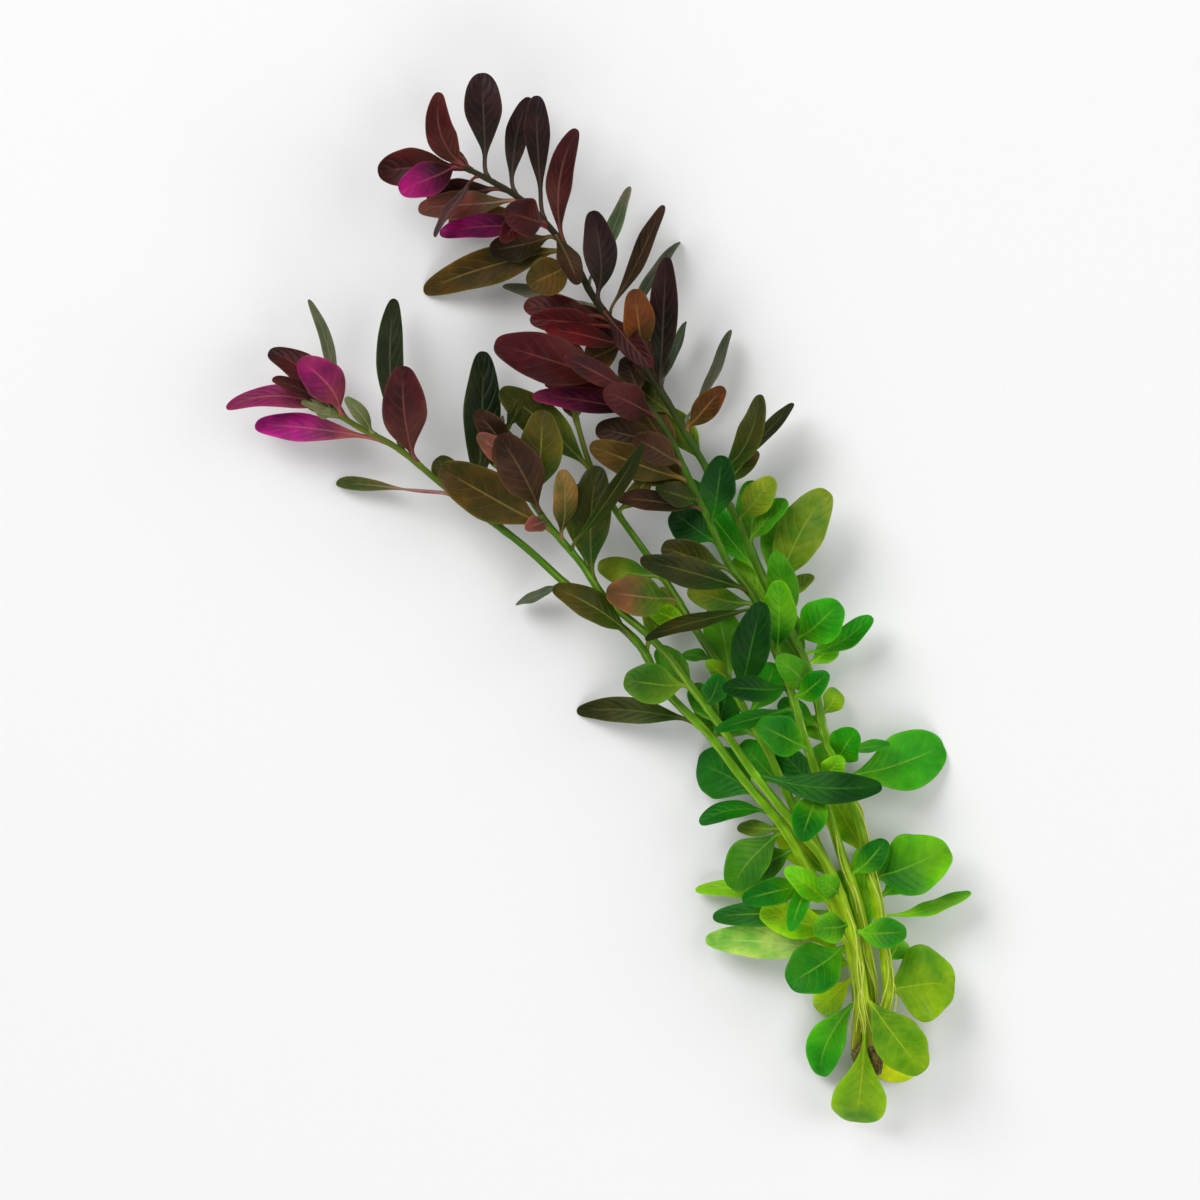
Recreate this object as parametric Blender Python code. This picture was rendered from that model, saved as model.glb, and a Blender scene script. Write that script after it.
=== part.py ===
"""Ludwigia repens: five leafy shoots on one short crown, lying on a surface.

The plant is taken out of the water and laid down. +Y runs from the cut crown to the tip
of the tallest shoot, +X is to the right of it and +Z is up, away from the surface.
Lengths below are in millimetres and angles in degrees.
"""

import math
from collections import namedtuple

import bmesh
import bpy
from mathutils import Matrix, Vector

MM = 0.001
GAP = 0.3

CROWN_RADIUS = 4.2
CROWN_CUT_RADIUS = 3.1
CROWN_TOP = (67.0, -110.0, 10.5)
CROWN_CUT = (67.4, -119.0, 10.0)
CROWN_SIDES = 12
CROWN_RIM = 0.5

STEM_SIDES = 8
STEM_STEP = 11.0
STEM_BASE_RADIUS = 1.4
STEM_TIP_RADIUS = 0.8

PETIOLE_WIDTH = 1.1
LEAF_THICKNESS = 0.9
LEAF_TIP_THICKNESS = 0.5
LEAF_FOLD = 0.16
WIDEST_AT = 0.6
LEAF_STATIONS = (0.0, 0.16, 0.35, 0.55, 0.75, 0.91)
SMALL_LEAF_STATIONS = (0.0, 0.24, 0.56, 0.86)

Paint = namedtuple("Paint", "colour roughness")
PAINTS = {
    "magenta": Paint((0.42, 0.02, 0.17), 0.4),
    "maroon": Paint((0.13, 0.016, 0.03), 0.4),
    "crimson": Paint((0.26, 0.02, 0.04), 0.4),
    "brown": Paint((0.13, 0.05, 0.014), 0.45),
    "olive": Paint((0.11, 0.1, 0.012), 0.45),
    "dark_green": Paint((0.01, 0.08, 0.01), 0.4),
    "green": Paint((0.015, 0.26, 0.012), 0.4),
    "bright_green": Paint((0.11, 0.5, 0.02), 0.4),
    "yellow_green": Paint((0.36, 0.6, 0.015), 0.45),
    "grey_green": Paint((0.08, 0.12, 0.06), 0.5),
    "stem_green": Paint((0.25, 0.45, 0.04), 0.5),
    "crown_brown": Paint((0.1, 0.06, 0.02), 0.7),
}

# Centre lines of the stems, from the crown to the growing tip.
STEMS = {
    "left": [
        (64.3, -109.5, 11.4), (64.9, -100, 11.8), (62.5, -87.5, 12.6), (58, -76.3, 13),
        (53, -68.8, 13), (45.8, -56.8, 13), (35, -43.8, 12.5), (27.3, -33.8, 12),
        (16.3, -22.5, 12), (8.8, -10, 12), (-6.8, 2.5, 12.5), (-20, 14.3, 13),
        (-36.3, 26.3, 14), (-50, 37.5, 15), (-60, 43, 16.5), (-66.3, 47, 18),
    ],
    "inner": [
        (67, -109.5, 13.4), (66, -100, 14.8), (64, -87.5, 15.8), (60.5, -75, 16.4),
        (56, -65, 16.6), (49.3, -56.8, 16.4), (38.8, -43.8, 16), (30.5, -32, 15.6),
        (21.5, -20, 15.4), (12.8, -9.5, 15.4), (1.8, 0, 15.8), (-5, 9.5, 16.2),
        (-13.8, 20, 17), (-19.5, 30, 18), (-23.8, 42.5, 20),
    ],
    "thin": [
        (65.3, -109.5, 8.2), (64.6, -100, 8.2), (63.2, -87.5, 8.4), (60, -75, 8.8),
        (55, -62.5, 9.3), (48.8, -52.5, 9.5), (42.5, -38.8, 9.5), (37, -29, 10),
        (28.8, -15, 10.5), (22.5, -5, 11), (16.3, 5, 12), (10, 13.8, 13),
        (3, 23.8, 14), (-2.5, 33.8, 15), (-6.3, 46.3, 16),
    ],
    "middle": [
        (68.7, -109.5, 8.2), (68.4, -100, 8.8), (67, -88, 10.4), (64.2, -75, 12.2),
        (60, -62.5, 13), (56.3, -50, 13.5), (51.3, -35, 14), (47.5, -22.5, 14),
        (40, -2.5, 14.5), (36.3, 3.8, 15), (32, 9.3, 15), (27.3, 19.8, 15.5),
        (21.8, 31.3, 16), (16.3, 42.5, 16.5), (9, 51.3, 17), (1, 57.5, 18), (-6, 61, 19.5),
    ],
    "tall": [
        (69.8, -109.5, 11.4), (72, -100, 11.8), (71.5, -90, 12), (69.5, -76.3, 12),
        (67.5, -67.5, 12), (65.5, -57.5, 11.5), (62.5, -50, 11), (59.5, -41.3, 10.5),
        (56.3, -34, 10), (53.8, -22.5, 9.5), (50, -12.5, 9.5), (45, -2.5, 9.5),
        (40, 7.5, 9.5), (34.5, 20, 10), (30, 27.5, 11), (22.5, 40, 12), (15, 52.5, 13),
        (4.5, 67.5, 14.5), (-2, 76.3, 15), (-6.3, 84.5, 15.5), (-12.5, 93, 16),
        (-21, 101, 16.5), (-35, 108.8, 18),
    ],
}

Leaf = namedtuple("Leaf", "at tip width paint roll bow sway start widest fused")


def leaf(at, tip, width, paint, roll=0.0, bow=1.5, sway=0.0, start=None, widest=WIDEST_AT):
    """A leaf that is a piece of its own.

    It grows where its stem passes y = at, from the side that faces its tip or, if start is
    given, from the side that start points to. roll turns its face about its length, bow
    lifts its middle off the straight line to the tip and sway moves it sideways. widest is
    the share of its length where it is as broad as width says.
    """
    return Leaf(at, tip, width, paint, roll, bow, sway, start, widest, False)


def small(at, tip, width, paint, roll=0.0, bow=1.0, sway=0.0, start=None, widest=WIDEST_AT):
    """A leaf that is fused to its stem."""
    return Leaf(at, tip, width, paint, roll, bow, sway, start, widest, True)


# The leaves of each stem, from the crown to the growing tip.
LEAVES = {
    "left": [
        leaf(-101, (55.5, -119.5, 3), 10, "bright_green", 15, sway=2),
        small(-95, (54.5, -103, 1.5), 7.5, "green", 10),
        leaf(-89.5, (26.5, -85.3, 5), 8.5, "bright_green", sway=1.5),
        leaf(-87, (47, -96, 20), 13.5, "green", 10),
        small(-84, (40, -78, 13), 9, "green"),
        leaf(-79, (28.3, -79.5, 8), 7, "green", 20),
        small(-77, (46, -67, 23), 7, "bright_green", 20),
        leaf(-71, (35.5, -75, 19), 7, "green", 15),
        small(-69, (47.5, -82.5, 24), 5, "dark_green", 20),
        leaf(-58.5, (33.3, -72.5, 12), 12, "green", 25, 2, 1),
        small(-63, (38, -68, 4), 9, "brown", 10),
        small(-58, (34.5, -57, 6), 4.4, "green", 20),
        small(-54, (25, -56, 12), 6.5, "dark_green", 45, 1.5, 2),
        leaf(-50.5, (24.5, -41.5, 0.1), 13.5, "dark_green", sway=1.2),
        small(-36, (32, -20, 4), 9, "green", start=(0, 0, -1)),
        leaf(-31, (-5.8, -28, 0.1), 6.8, "olive", 10, sway=1.3, widest=0.56),
        leaf(-10, (-11.8, 3, 21), 8.5, "brown", 25, 2.5, 0.3),
        small(4, (-21, -1, 4), 6, "grey_green", 60, -0.5),
        small(-14, (17, 3, 1), 9, "olive"),
        small(17, (-33, 32, 3), 7, "brown", 10),
        leaf(22, (-29.3, 62.3, 10), 9.5, "maroon", 10, 1, 0, start=(0.4, 1, -0.5)),
        small(24, (-41, 35.5, 8), 7.5, "brown"),
        leaf(26, (-66.3, 29.5, 1.1), 4.6, "brown", 30, -0.8, 0.8, widest=0.84),
        leaf(34, (-49, 58.3, 26), 11.5, "maroon", 10, sway=-2),
        leaf(37, (-51.5, 75.5, 9), 7, "dark_green", 10, 1, -2.3),
        leaf(39.5, (-86.5, 43.8, 7), 7.4, "magenta", 5, 2, 1, widest=0.66),
        small(43, (-77, 55, 3), 7, "maroon"),
        small(41, (-63.5, 50.5, 22), 4, "crimson", 10),
        leaf(45.5, (-75, 59.5, 27), 10, "magenta", 10, sway=1.5),
        leaf(46.3, (-93.5, 48, 13), 6.2, "magenta", 20, 2, 3.5, widest=0.5),
        small(45.8, (-83, 62, 12), 8, "maroon", 15, sway=2.5),
        small(46.5, (-72.8, 75, 19), 4.5, "grey_green", 40, 0.5, 1.2),
        small(46.6, (-81.8, 55, 21), 6, "maroon", 50, sway=0.5),
        small(46.7, (-74.5, 49.3, 22), 3, "bright_green", 30, 0.5),
        small(46.8, (-70.5, 47, 25), 2.8, "bright_green", -30, 0.5),
    ],
    "inner": [
        leaf(-105, (64.3, -131, 4), 14, "yellow_green", 0, 5, start=(0, 0, 1), widest=0.72),
        leaf(-100, (80.5, -118, 18), 12.5, "yellow_green", 0, 2, widest=0.6),
        small(-82, (53, -82, 25), 8, "green", 10),
        small(-74, (54.5, -69, 25), 6, "bright_green", 10, start=(-1, 0, 1)),
        small(-84, (76.5, -83, 20), 8, "green", -10),
        leaf(-44.5, (70.3, -46.5, 21), 8.5, "dark_green", -15, 2, 2),
        small(-33, (23, -21.5, 6), 7, "green", start=(-1, 0, -1)),
        small(-24, (14.5, -12, 7), 7, "green", start=(-1, 0, -1)),
        small(-27, (30, -18.5, 21), 6.5, "green", 0, start=(1, 0, 1)),
        leaf(-22, (6, -20, 17), 10.5, "green", 5),
        leaf(4, (-0.5, 33.5, 20.5), 10.5, "olive", -10, 1, -1.3),
        small(6, (-6, 29, 9), 9, "olive", start=(0, 0, -1)),
        small(12, (10.5, 38.8, 32), 6.5, "brown", 50, 1.8, -2, (0, 0, 1)),
        small(14.5, (-9.5, 32.5, 25), 7.5, "olive", 30, start=(0, 0, 1)),
        leaf(17, (-40, 33, 20), 12.5, "brown", 0, 2),
        leaf(21, (-25, 41, 29), 11.5, "maroon", 10, 2),
        small(19, (-18.5, 17.5, 28), 4.8, "crimson", 20),
        leaf(24, (-14.5, 47.3, 23), 11, "olive", 0, 1.5, 0.5),
        small(27, (-28, 44, 4), 9, "olive"),
        small(33, (-30.5, 41, 32), 6, "crimson", 15),
        small(35, (-31, 47, 27), 7, "maroon", 10),
        small(42, (-20, 50, 25), 3.6, "olive", 30, 0.5),
    ],
    "thin": [
        small(-93, (51, -87, 1.5), 9, "green", start=(-1, 0, -1)),
        small(-90, (60, -68, 2), 9, "yellow_green"),
        small(-74, (24, -72.8, 2.5), 6, "green", 40),
        small(-71, (45, -55, 1), 10, "yellow_green", start=(0, 0, -1)),
        small(-52, (60, -36, 2), 10, "green"),
        small(-48, (35.5, -36, 3), 9, "dark_green", start=(-1, 0, -1)),
        small(-35, (24, -27, 3), 9, "dark_green", 10),
        small(-30, (44, -16, 3), 9, "dark_green"),
        leaf(-26, (40.5, -0.5, 28), 10, "dark_green", -10, 1.5),
        leaf(-22, (28.8, -1.3, 4), 10, "green", 10, 1, start=(1, 0, -1)),
        small(-20, (26.3, -15.5, 19), 4.8, "brown", 20),
        small(-16, (20, -14.5, 7), 6, "dark_green", 60),
        small(-7, (12.5, -2.5, 9), 6, "bright_green", 10),
        small(5, (-0.5, 8.7, 6), 7, "olive"),
        leaf(-0.5, (1.5, 1.8, 21), 10.5, "olive", 10),
        leaf(31, (-25, 52.5, 17), 10, "olive", 0, 0.5, 1),
        small(21, (12.5, 31, 17), 5, "olive", 0, start=(1, 0, 1)),
        small(44, (-9.5, 52, 16.5), 3.6, "olive", 20, 0.5),
    ],
    "middle": [
        small(-88, (66, -62, 2), 8, "yellow_green", start=(0, 0, -1)),
        small(-70, (71.5, -60, 15), 7, "bright_green", 0, start=(1, 0, 1)),
        small(-50, (44.5, -37, 4), 7, "dark_green", start=(-1, 0, -1)),
        small(-47, (50, -60, 26), 9, "dark_green", 10),
        small(-45, (60.5, -39, 20), 6, "green", 0, start=(1, 0, 1)),
        leaf(-38, (39, -31, 27), 10, "green", 10),
        small(-28, (28.8, -32.5, 24), 4.8, "bright_green", 20, 2),
        small(-25.5, (57, -18.3, 23), 7, "olive", -15),
        small(-23, (30.5, -22, 24), 7, "dark_green", 15),
        small(-14, (44.5, 5, 28), 9, "green"),
        small(-2, (22, 2.5, 7), 7, "olive", start=(-1, 0, -1)),
        small(-3, (11.3, -10, 22), 7, "olive", 50, 1.5),
        leaf(1.5, (10, 10, 23), 8.5, "olive", -20, 2.5, 2),
        small(7, (15.5, 13.5, 14), 8.5, "olive"),
        leaf(13, (18, 22, 10), 10, "dark_green", 5),
        small(18, (30.5, 36, 25), 9, "green"),
        small(22, (4.3, 25, 25), 7, "maroon", 45),
        small(24, (14.5, 27.5, 22), 6.5, "green", 10, start=(-1, 0, 1)),
        leaf(28, (7.5, 37.5, 6), 13.5, "brown", 5),
        small(29, (-2.5, 38.7, 19), 8.5, "brown"),
        small(32, (9, 50, 5), 9, "olive", start=(-1, 0, -1)),
        small(33, (8.5, 40.5, 22.5), 8, "brown", 10, start=(-1, 0, 1)),
        leaf(38, (-1, 43, 13), 8.5, "brown", 5),
        small(45, (0.8, 52, 28), 9, "crimson", 15),
        leaf(46, (-16.8, 50.8, 20), 7, "crimson", 30),
        small(50, (6, 61, 4), 6.5, "brown", 0, -1, start=(0, 0, -1)),
        small(51, (-13.8, 54, 13), 4.2, "olive", 10),
        leaf(54, (-26.3, 63.8, 25), 12.5, "maroon", 10, 2),
        small(51.5, (-9, 60.5, 30), 6, "olive", 10, start=(0.3, 0, 1)),
    ],
    "tall": [
        leaf(-107, (79.3, -119.5, 0.1), 16.5, "yellow_green", 0, -2, 0.2, widest=0.54),
        leaf(-99, (88.8, -97, 9), 20, "yellow_green", -10, sway=-1.5, widest=0.5),
        small(-92, (75, -85, 3), 8, "green"),
        small(-80, (93, -73.3, 8), 7, "green", -60, -1.6),
        small(-76, (79.5, -65.5, 3), 8, "green", start=(1, 0, -1)),
        leaf(-71, (87.5, -62.5, 12), 16, "bright_green", -10, widest=0.5),
        small(-66, (57, -47, 2), 10, "yellow_green"),
        leaf(-45.5, (86.3, -36.5, 0.1), 15, "green", -5, sway=1),
        small(-41, (64, -32.5, 23), 9.5, "green", -15),
        small(-38, (72.5, -36.3, 14), 6, "green", -65, -0.5),
        small(-30, (59.5, -22.5, 4), 6, "yellow_green", 10),
        small(-33, (45, -25.5, 2), 6.5, "dark_green", start=(-1, 0, -1)),
        small(-37, (52.8, -29.5, 3), 6, "green", start=(-1, 0, -1)),
        small(-20, (40, 0, 3), 11.5, "dark_green", start=(-1, 0, -1)),
        small(-17.5, (58.8, -10.5, 2), 6, "bright_green"),
        small(-24, (44, -14, 23), 7.5, "green", 10, start=(-1, 0, 1)),
        small(-14.5, (68.3, -4.3, 9), 8, "green", -50, -2),
        leaf(-11, (60, -0.8, 18), 11.5, "green", -5),
        small(-8, (43.5, 12, 24), 8, "green"),
        small(-0.5, (53.3, 6.3, 5), 7, "green", -60, -0.5),
        leaf(0, (57, 27.3, 14), 12.5, "olive", -10, 2, -1.5),
        small(3, (46, 22.5, 4), 9.5, "olive"),
        small(5, (24, 27, 3), 8, "dark_green"),
        small(-6, (33.8, 10.5, 3), 6.5, "green", start=(-1, 0, -1)),
        small(12, (38, 30, 3), 8, "green", start=(1, 0, -1)),
        small(13.5, (47, 24.5, 17), 8, "green", -50),
        small(19, (43.3, 30.5, 21), 8, "olive", -10),
        small(27, (39.3, 37.5, 5), 6, "olive", -20),
        leaf(30, (40, 51.3, 19), 7, "brown", -15, sway=3.5),
        small(31, (48.5, 49.3, 9), 6, "grey_green", -50, -1.5),
        small(33, (16.5, 48, 5), 7, "olive", start=(-1, 0, -1)),
        small(28, (14, 28, 3), 7, "green"),
        small(41.5, (31, 53, 21), 6.5, "brown", -10),
        small(43, (32.8, 67.8, 5), 7, "grey_green", -70, -1.5),
        small(45, (6, 56, 3), 9, "brown"),
        small(50, (10.5, 65, 6), 8, "brown", start=(0, 0, -1)),
        small(52.5, (21.5, 69.8, 7), 6, "grey_green", -65, -0.5),
        leaf(52, (16.8, 85.5, 24), 8, "maroon", -15),
        small(58, (8.3, 77.3, 28), 8.5, "brown", 10, widest=0.66),
        small(60, (-8, 74, 2), 9, "maroon"),
        small(62.5, (-13.8, 67.5, 22), 7, "crimson", 30),
        small(64, (-3.5, 60, 8), 8, "maroon", start=(-1, 0, -1)),
        small(66, (20, 90, 0.4), 6, "grey_green", -60),
        leaf(67.5, (-17.5, 70, 17), 7, "crimson", 10),
        small(70.5, (16, 98.5, 19), 7, "brown", -50, -0.5),
        small(70, (-19, 74, 11), 8, "brown", 10),
        small(73, (-24.3, 79, 2), 6, "grey_green", 60, -0.5),
        small(72, (13, 58, 26), 6.5, "maroon", 10, start=(0, 0, 1)),
        leaf(74, (-2, 96.8, 28), 8.5, "maroon", sway=1.5),
        small(78, (7.5, 103.5, 12), 6, "grey_green", -50, -0.5),
        small(84, (-18, 78.5, 19), 10, "olive"),
        small(91, (-5.5, 78.5, 25), 6, "maroon", -10, start=(0, 0, 1)),
        leaf(87, (-44.3, 77.6, 0.1), 9.5, "olive", 0, 2, 1.8, widest=0.52),
        small(90.5, (-27.5, 87.5, 13), 8, "brown"),
        leaf(88, (-5.8, 117.3, 25), 7, "maroon", -15, 1.5, -3),
        leaf(93, (-40, 91.3, 20), 7.5, "magenta", 35),
        small(93.5, (-23.8, 96.3, 30), 10, "maroon", 10),
        small(98, (-24.5, 89, 25), 5.5, "maroon", 10, start=(0, 0, 1)),
        leaf(94.5, (-15.8, 125.8, 21), 6.5, "maroon", -10, widest=0.72),
        small(96, (-38, 94.5, 5), 8, "brown"),
        leaf(99.5, (-45.5, 98, 11), 7.5, "brown", 10, 2),
        small(101, (-17.5, 125.8, 10), 6, "maroon", 15, 1, -2.5),
        small(102.5, (-43.5, 101.5, 9), 7, "maroon"),
        leaf(105, (-29.5, 131.5, 20), 9.5, "maroon", widest=0.7),
        small(106, (-41, 90.3, 27), 6, "maroon", 60),
        leaf(107.5, (-40, 126.5, 24), 7.5, "maroon", 0, 1, -3.5, widest=0.5),
        leaf(108, (-55.5, 107, 15), 10, "brown", 10, 2),
        leaf(108.4, (-50, 101.8, 25), 9, "magenta", 10),
    ],
}


def clear_scene():
    """Remove whatever the open file holds."""
    for old in list(bpy.data.objects):
        bpy.data.objects.remove(old, do_unlink=True)


def paint_material(name):
    """One Principled material for each paint, made once."""
    found = bpy.data.materials.get(name)
    if found:
        return found
    material = bpy.data.materials.new(name)
    material.use_nodes = True
    shader = material.node_tree.nodes["Principled BSDF"]
    shader.inputs["Base Color"].default_value = (*PAINTS[name].colour, 1.0)
    shader.inputs["Roughness"].default_value = PAINTS[name].roughness
    shader.inputs["Metallic"].default_value = 0.0
    return material


def smooth_line(points):
    """Points along a curve through the given ones, by Catmull and Rom's rule, about STEM_STEP apart."""
    knots = [Vector(point) for point in points]
    ends = [2 * knots[0] - knots[1], *knots, 2 * knots[-1] - knots[-2]]
    line = []
    for before, start, stop, after in zip(ends, ends[1:], ends[2:], ends[3:]):
        steps = max(1, round((stop - start).length / STEM_STEP))
        for step in range(steps):
            t = step / steps
            pull = (stop - before) * t + (2 * before - 5 * start + 4 * stop - after) * t**2
            line.append(start + 0.5 * (pull + (3 * start - before - 3 * stop + after) * t**3))
    line.append(knots[-1])
    return line


def stem_radius(line, index):
    """The stem thins evenly from the crown to its tip."""
    share = index / (len(line) - 1)
    return STEM_BASE_RADIUS + (STEM_TIP_RADIUS - STEM_BASE_RADIUS) * share


def place_on_stem(line, height):
    """The point where a stem passes y = height, its direction and its radius there."""
    for index in range(len(line) - 1):
        low, high = line[index], line[index + 1]
        if low.y <= height <= high.y:
            share = (height - low.y) / (high.y - low.y)
            return low.lerp(high, share), (high - low).normalized(), stem_radius(line, index)
    return line[-1], (line[-1] - line[-2]).normalized(), stem_radius(line, len(line) - 1)


def tube_bmesh(line, radius_at, sides, round_end):
    """A tube round a line of points, capped flat at its start and rounded or flat at its end."""
    bm = bmesh.new()
    rings = []
    for index, centre in enumerate(line):
        ahead = line[min(index + 1, len(line) - 1)] - line[max(index - 1, 0)]
        across = ahead.cross(Vector((0, 0, 1))).normalized()
        above = across.cross(ahead).normalized()
        radius = radius_at(index)
        ring = []
        for side in range(sides):
            angle = 2 * math.pi * side / sides
            offset = across * math.cos(angle) + above * math.sin(angle)
            ring.append(bm.verts.new((centre + offset * radius) * MM))
        rings.append(ring)
    for low, high in zip(rings, rings[1:]):
        for side in range(sides):
            other = (side + 1) % sides
            bm.faces.new((low[side], low[other], high[other], high[side]))
    bm.faces.new(rings[0][::-1])
    if round_end:
        ahead = (line[-1] - line[-2]).normalized()
        tip = bm.verts.new((line[-1] + ahead * radius_at(len(line) - 1)) * MM)
        for side in range(sides):
            bm.faces.new((rings[-1][side], rings[-1][(side + 1) % sides], tip))
    else:
        bm.faces.new(rings[-1])
    bmesh.ops.recalc_face_normals(bm, faces=bm.faces)
    return bm


def leaf_outline(share, widest):
    """Width of a leaf at a share of its length, as a part of its greatest width.

    A sine that peaks at the widest place, narrowed towards the petiole and blunt at the tip.
    """
    skew = math.log(0.5) / math.log(widest)
    power = 1.45 - 0.9 * share
    return math.sin(math.pi * share**skew) ** power


def leaf_base(spec, line):
    """Where a leaf starts: beside its stem with a small gap, or inside it if it is fused."""
    centre, along, radius = place_on_stem(line, spec.at)
    outward = Vector(spec.start) if spec.start else Vector(spec.tip) - centre
    outward = (outward - along * outward.dot(along)).normalized()
    if spec.fused:
        return centre + outward * radius * 0.3
    return centre + outward * (radius + GAP + 0.4 * LEAF_THICKNESS)


def leaf_frame(spec, base, share):
    """Point on the midrib at a share of the length, with the directions across and above it."""
    run = Vector(spec.tip) - base
    axis = run.normalized()
    face = Vector((0, 0, 1)) - axis * axis.z
    face = Matrix.Rotation(math.radians(spec.roll), 3, axis) @ face.normalized()
    side = axis.cross(face)
    bend = face * spec.bow + side * spec.sway
    point = base + run * share + bend * 4 * share * (1 - share)
    along = (run + bend * 4 * (1 - 2 * share)).normalized()
    above = (face - along * face.dot(along)).normalized()
    return point, along.cross(above), above


def leaf_bmesh(spec, line):
    """A leaf as a thin lens round its midrib, folded a little along it, ending in a point."""
    bm = bmesh.new()
    base = leaf_base(spec, line)
    rings = []
    for share in SMALL_LEAF_STATIONS if spec.fused else LEAF_STATIONS:
        point, across, above = leaf_frame(spec, base, share)
        half = max(PETIOLE_WIDTH, spec.width * leaf_outline(share, spec.widest)) / 2
        thick = LEAF_THICKNESS + (LEAF_TIP_THICKNESS - LEAF_THICKNESS) * share
        lift = above * LEAF_FOLD * (half - PETIOLE_WIDTH / 2)
        corners = (
            point - across * half + lift,
            point - above * thick / 2,
            point + across * half + lift,
            point + above * thick / 2,
        )
        rings.append([bm.verts.new(corner * MM) for corner in corners])
    for low, high in zip(rings, rings[1:]):
        for side in range(4):
            other = (side + 1) % 4
            bm.faces.new((low[side], low[other], high[other], high[side]))
    bm.faces.new(rings[0][::-1])
    tip = bm.verts.new(Vector(spec.tip) * MM)
    for side in range(4):
        bm.faces.new((rings[-1][side], rings[-1][(side + 1) % 4], tip))
    bmesh.ops.recalc_face_normals(bm, faces=bm.faces)
    return bm


def add_object(name, bm, paint):
    """Turn a bmesh into a named, smoothly shaded object of one paint."""
    mesh = bpy.data.meshes.new(name)
    bm.to_mesh(mesh)
    bm.free()
    mesh.shade_smooth()
    mesh.materials.append(paint_material(paint))
    made = bpy.data.objects.new(name, mesh)
    bpy.context.scene.collection.objects.link(made)
    return made


def fuse(stem, piece):
    """Join a piece to its stem with a Boolean union and hide the piece itself."""
    piece.hide_render = True
    piece.display_type = "WIRE"
    union = stem.modifiers.new(piece.name, "BOOLEAN")
    union.operation = "UNION"
    union.solver = "EXACT"
    union.object = piece


def make_crown():
    """The short woody stump that the stems rise from, cut off flat."""
    top, cut = Vector(CROWN_TOP), Vector(CROWN_CUT)
    run = top - cut
    shares = (0.0, CROWN_RIM / run.length, 0.55, 1 - CROWN_RIM / run.length, 1.0)
    rim = (1 - CROWN_RIM / CROWN_RADIUS, 1.0, 1.04, 1.0, 1 - CROWN_RIM / CROWN_RADIUS)
    line = [cut + run * share for share in shares]

    def radius_at(index):
        return (CROWN_CUT_RADIUS + (CROWN_RADIUS - CROWN_CUT_RADIUS) * shares[index]) * rim[index]

    return add_object("crown", tube_bmesh(line, radius_at, CROWN_SIDES, False), "crown_brown")


def make_shoot(name):
    """One stem, the small leaves fused to it, and its other leaves as pieces of their own."""
    line = smooth_line(STEMS[name])

    def radius_at(index):
        return stem_radius(line, index)

    stem = add_object(f"stem_{name}", tube_bmesh(line, radius_at, STEM_SIDES, True), "stem_green")
    count = 0
    for index, spec in enumerate(LEAVES[name]):
        bm = leaf_bmesh(spec, line)
        if spec.fused:
            fuse(stem, add_object(f"small_{name}_{index}", bm, spec.paint))
        else:
            count += 1
            add_object(f"leaf_{name}_{count:02d}", bm, spec.paint)


def main():
    clear_scene()
    make_crown()
    for name in STEMS:
        make_shoot(name)


main()
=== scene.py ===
"""The looks of a lying ludwigia repens: leaves, stems and crown in place of its plain solids.

The tables are in millimetres and degrees, the meshes in metres. +Y runs from the cut crown
to the tip of the tallest shoot, +X is to the right of it and +Z is up.
"""

from collections import namedtuple
from functools import cache

import bpy
import numpy as np
from bpy.props import FloatProperty, FloatVectorProperty, IntProperty, PointerProperty
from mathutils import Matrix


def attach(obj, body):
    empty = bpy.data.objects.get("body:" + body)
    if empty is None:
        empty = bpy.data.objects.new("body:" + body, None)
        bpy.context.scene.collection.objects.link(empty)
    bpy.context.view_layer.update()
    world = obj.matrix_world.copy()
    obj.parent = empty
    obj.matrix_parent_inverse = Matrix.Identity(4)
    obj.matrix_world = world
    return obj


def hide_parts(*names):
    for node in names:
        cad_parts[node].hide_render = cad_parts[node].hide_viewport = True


bl_info = {
    "name": "Ludwigia Repens",
    "version": (1, 0, 0),
    "blender": (4, 5, 0),
    "location": "3D View > Sidebar > Ludwigia",
    "description": "Grows the leaves, stems and crown of a ludwigia repens over its plain solids",
    "category": "Object",
}

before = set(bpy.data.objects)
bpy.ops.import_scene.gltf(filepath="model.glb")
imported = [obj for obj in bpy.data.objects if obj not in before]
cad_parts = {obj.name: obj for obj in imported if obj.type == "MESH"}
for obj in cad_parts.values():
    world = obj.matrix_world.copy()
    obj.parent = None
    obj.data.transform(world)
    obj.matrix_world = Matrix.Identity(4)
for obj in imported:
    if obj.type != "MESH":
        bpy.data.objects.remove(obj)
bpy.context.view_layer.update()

MM = 0.001
UP = np.array((0.0, 0.0, 1.0))

CROWN_TOP = (67.0, -110.0, 10.5)
CROWN_CUT = (67.4, -119.0, 10.0)

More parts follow.
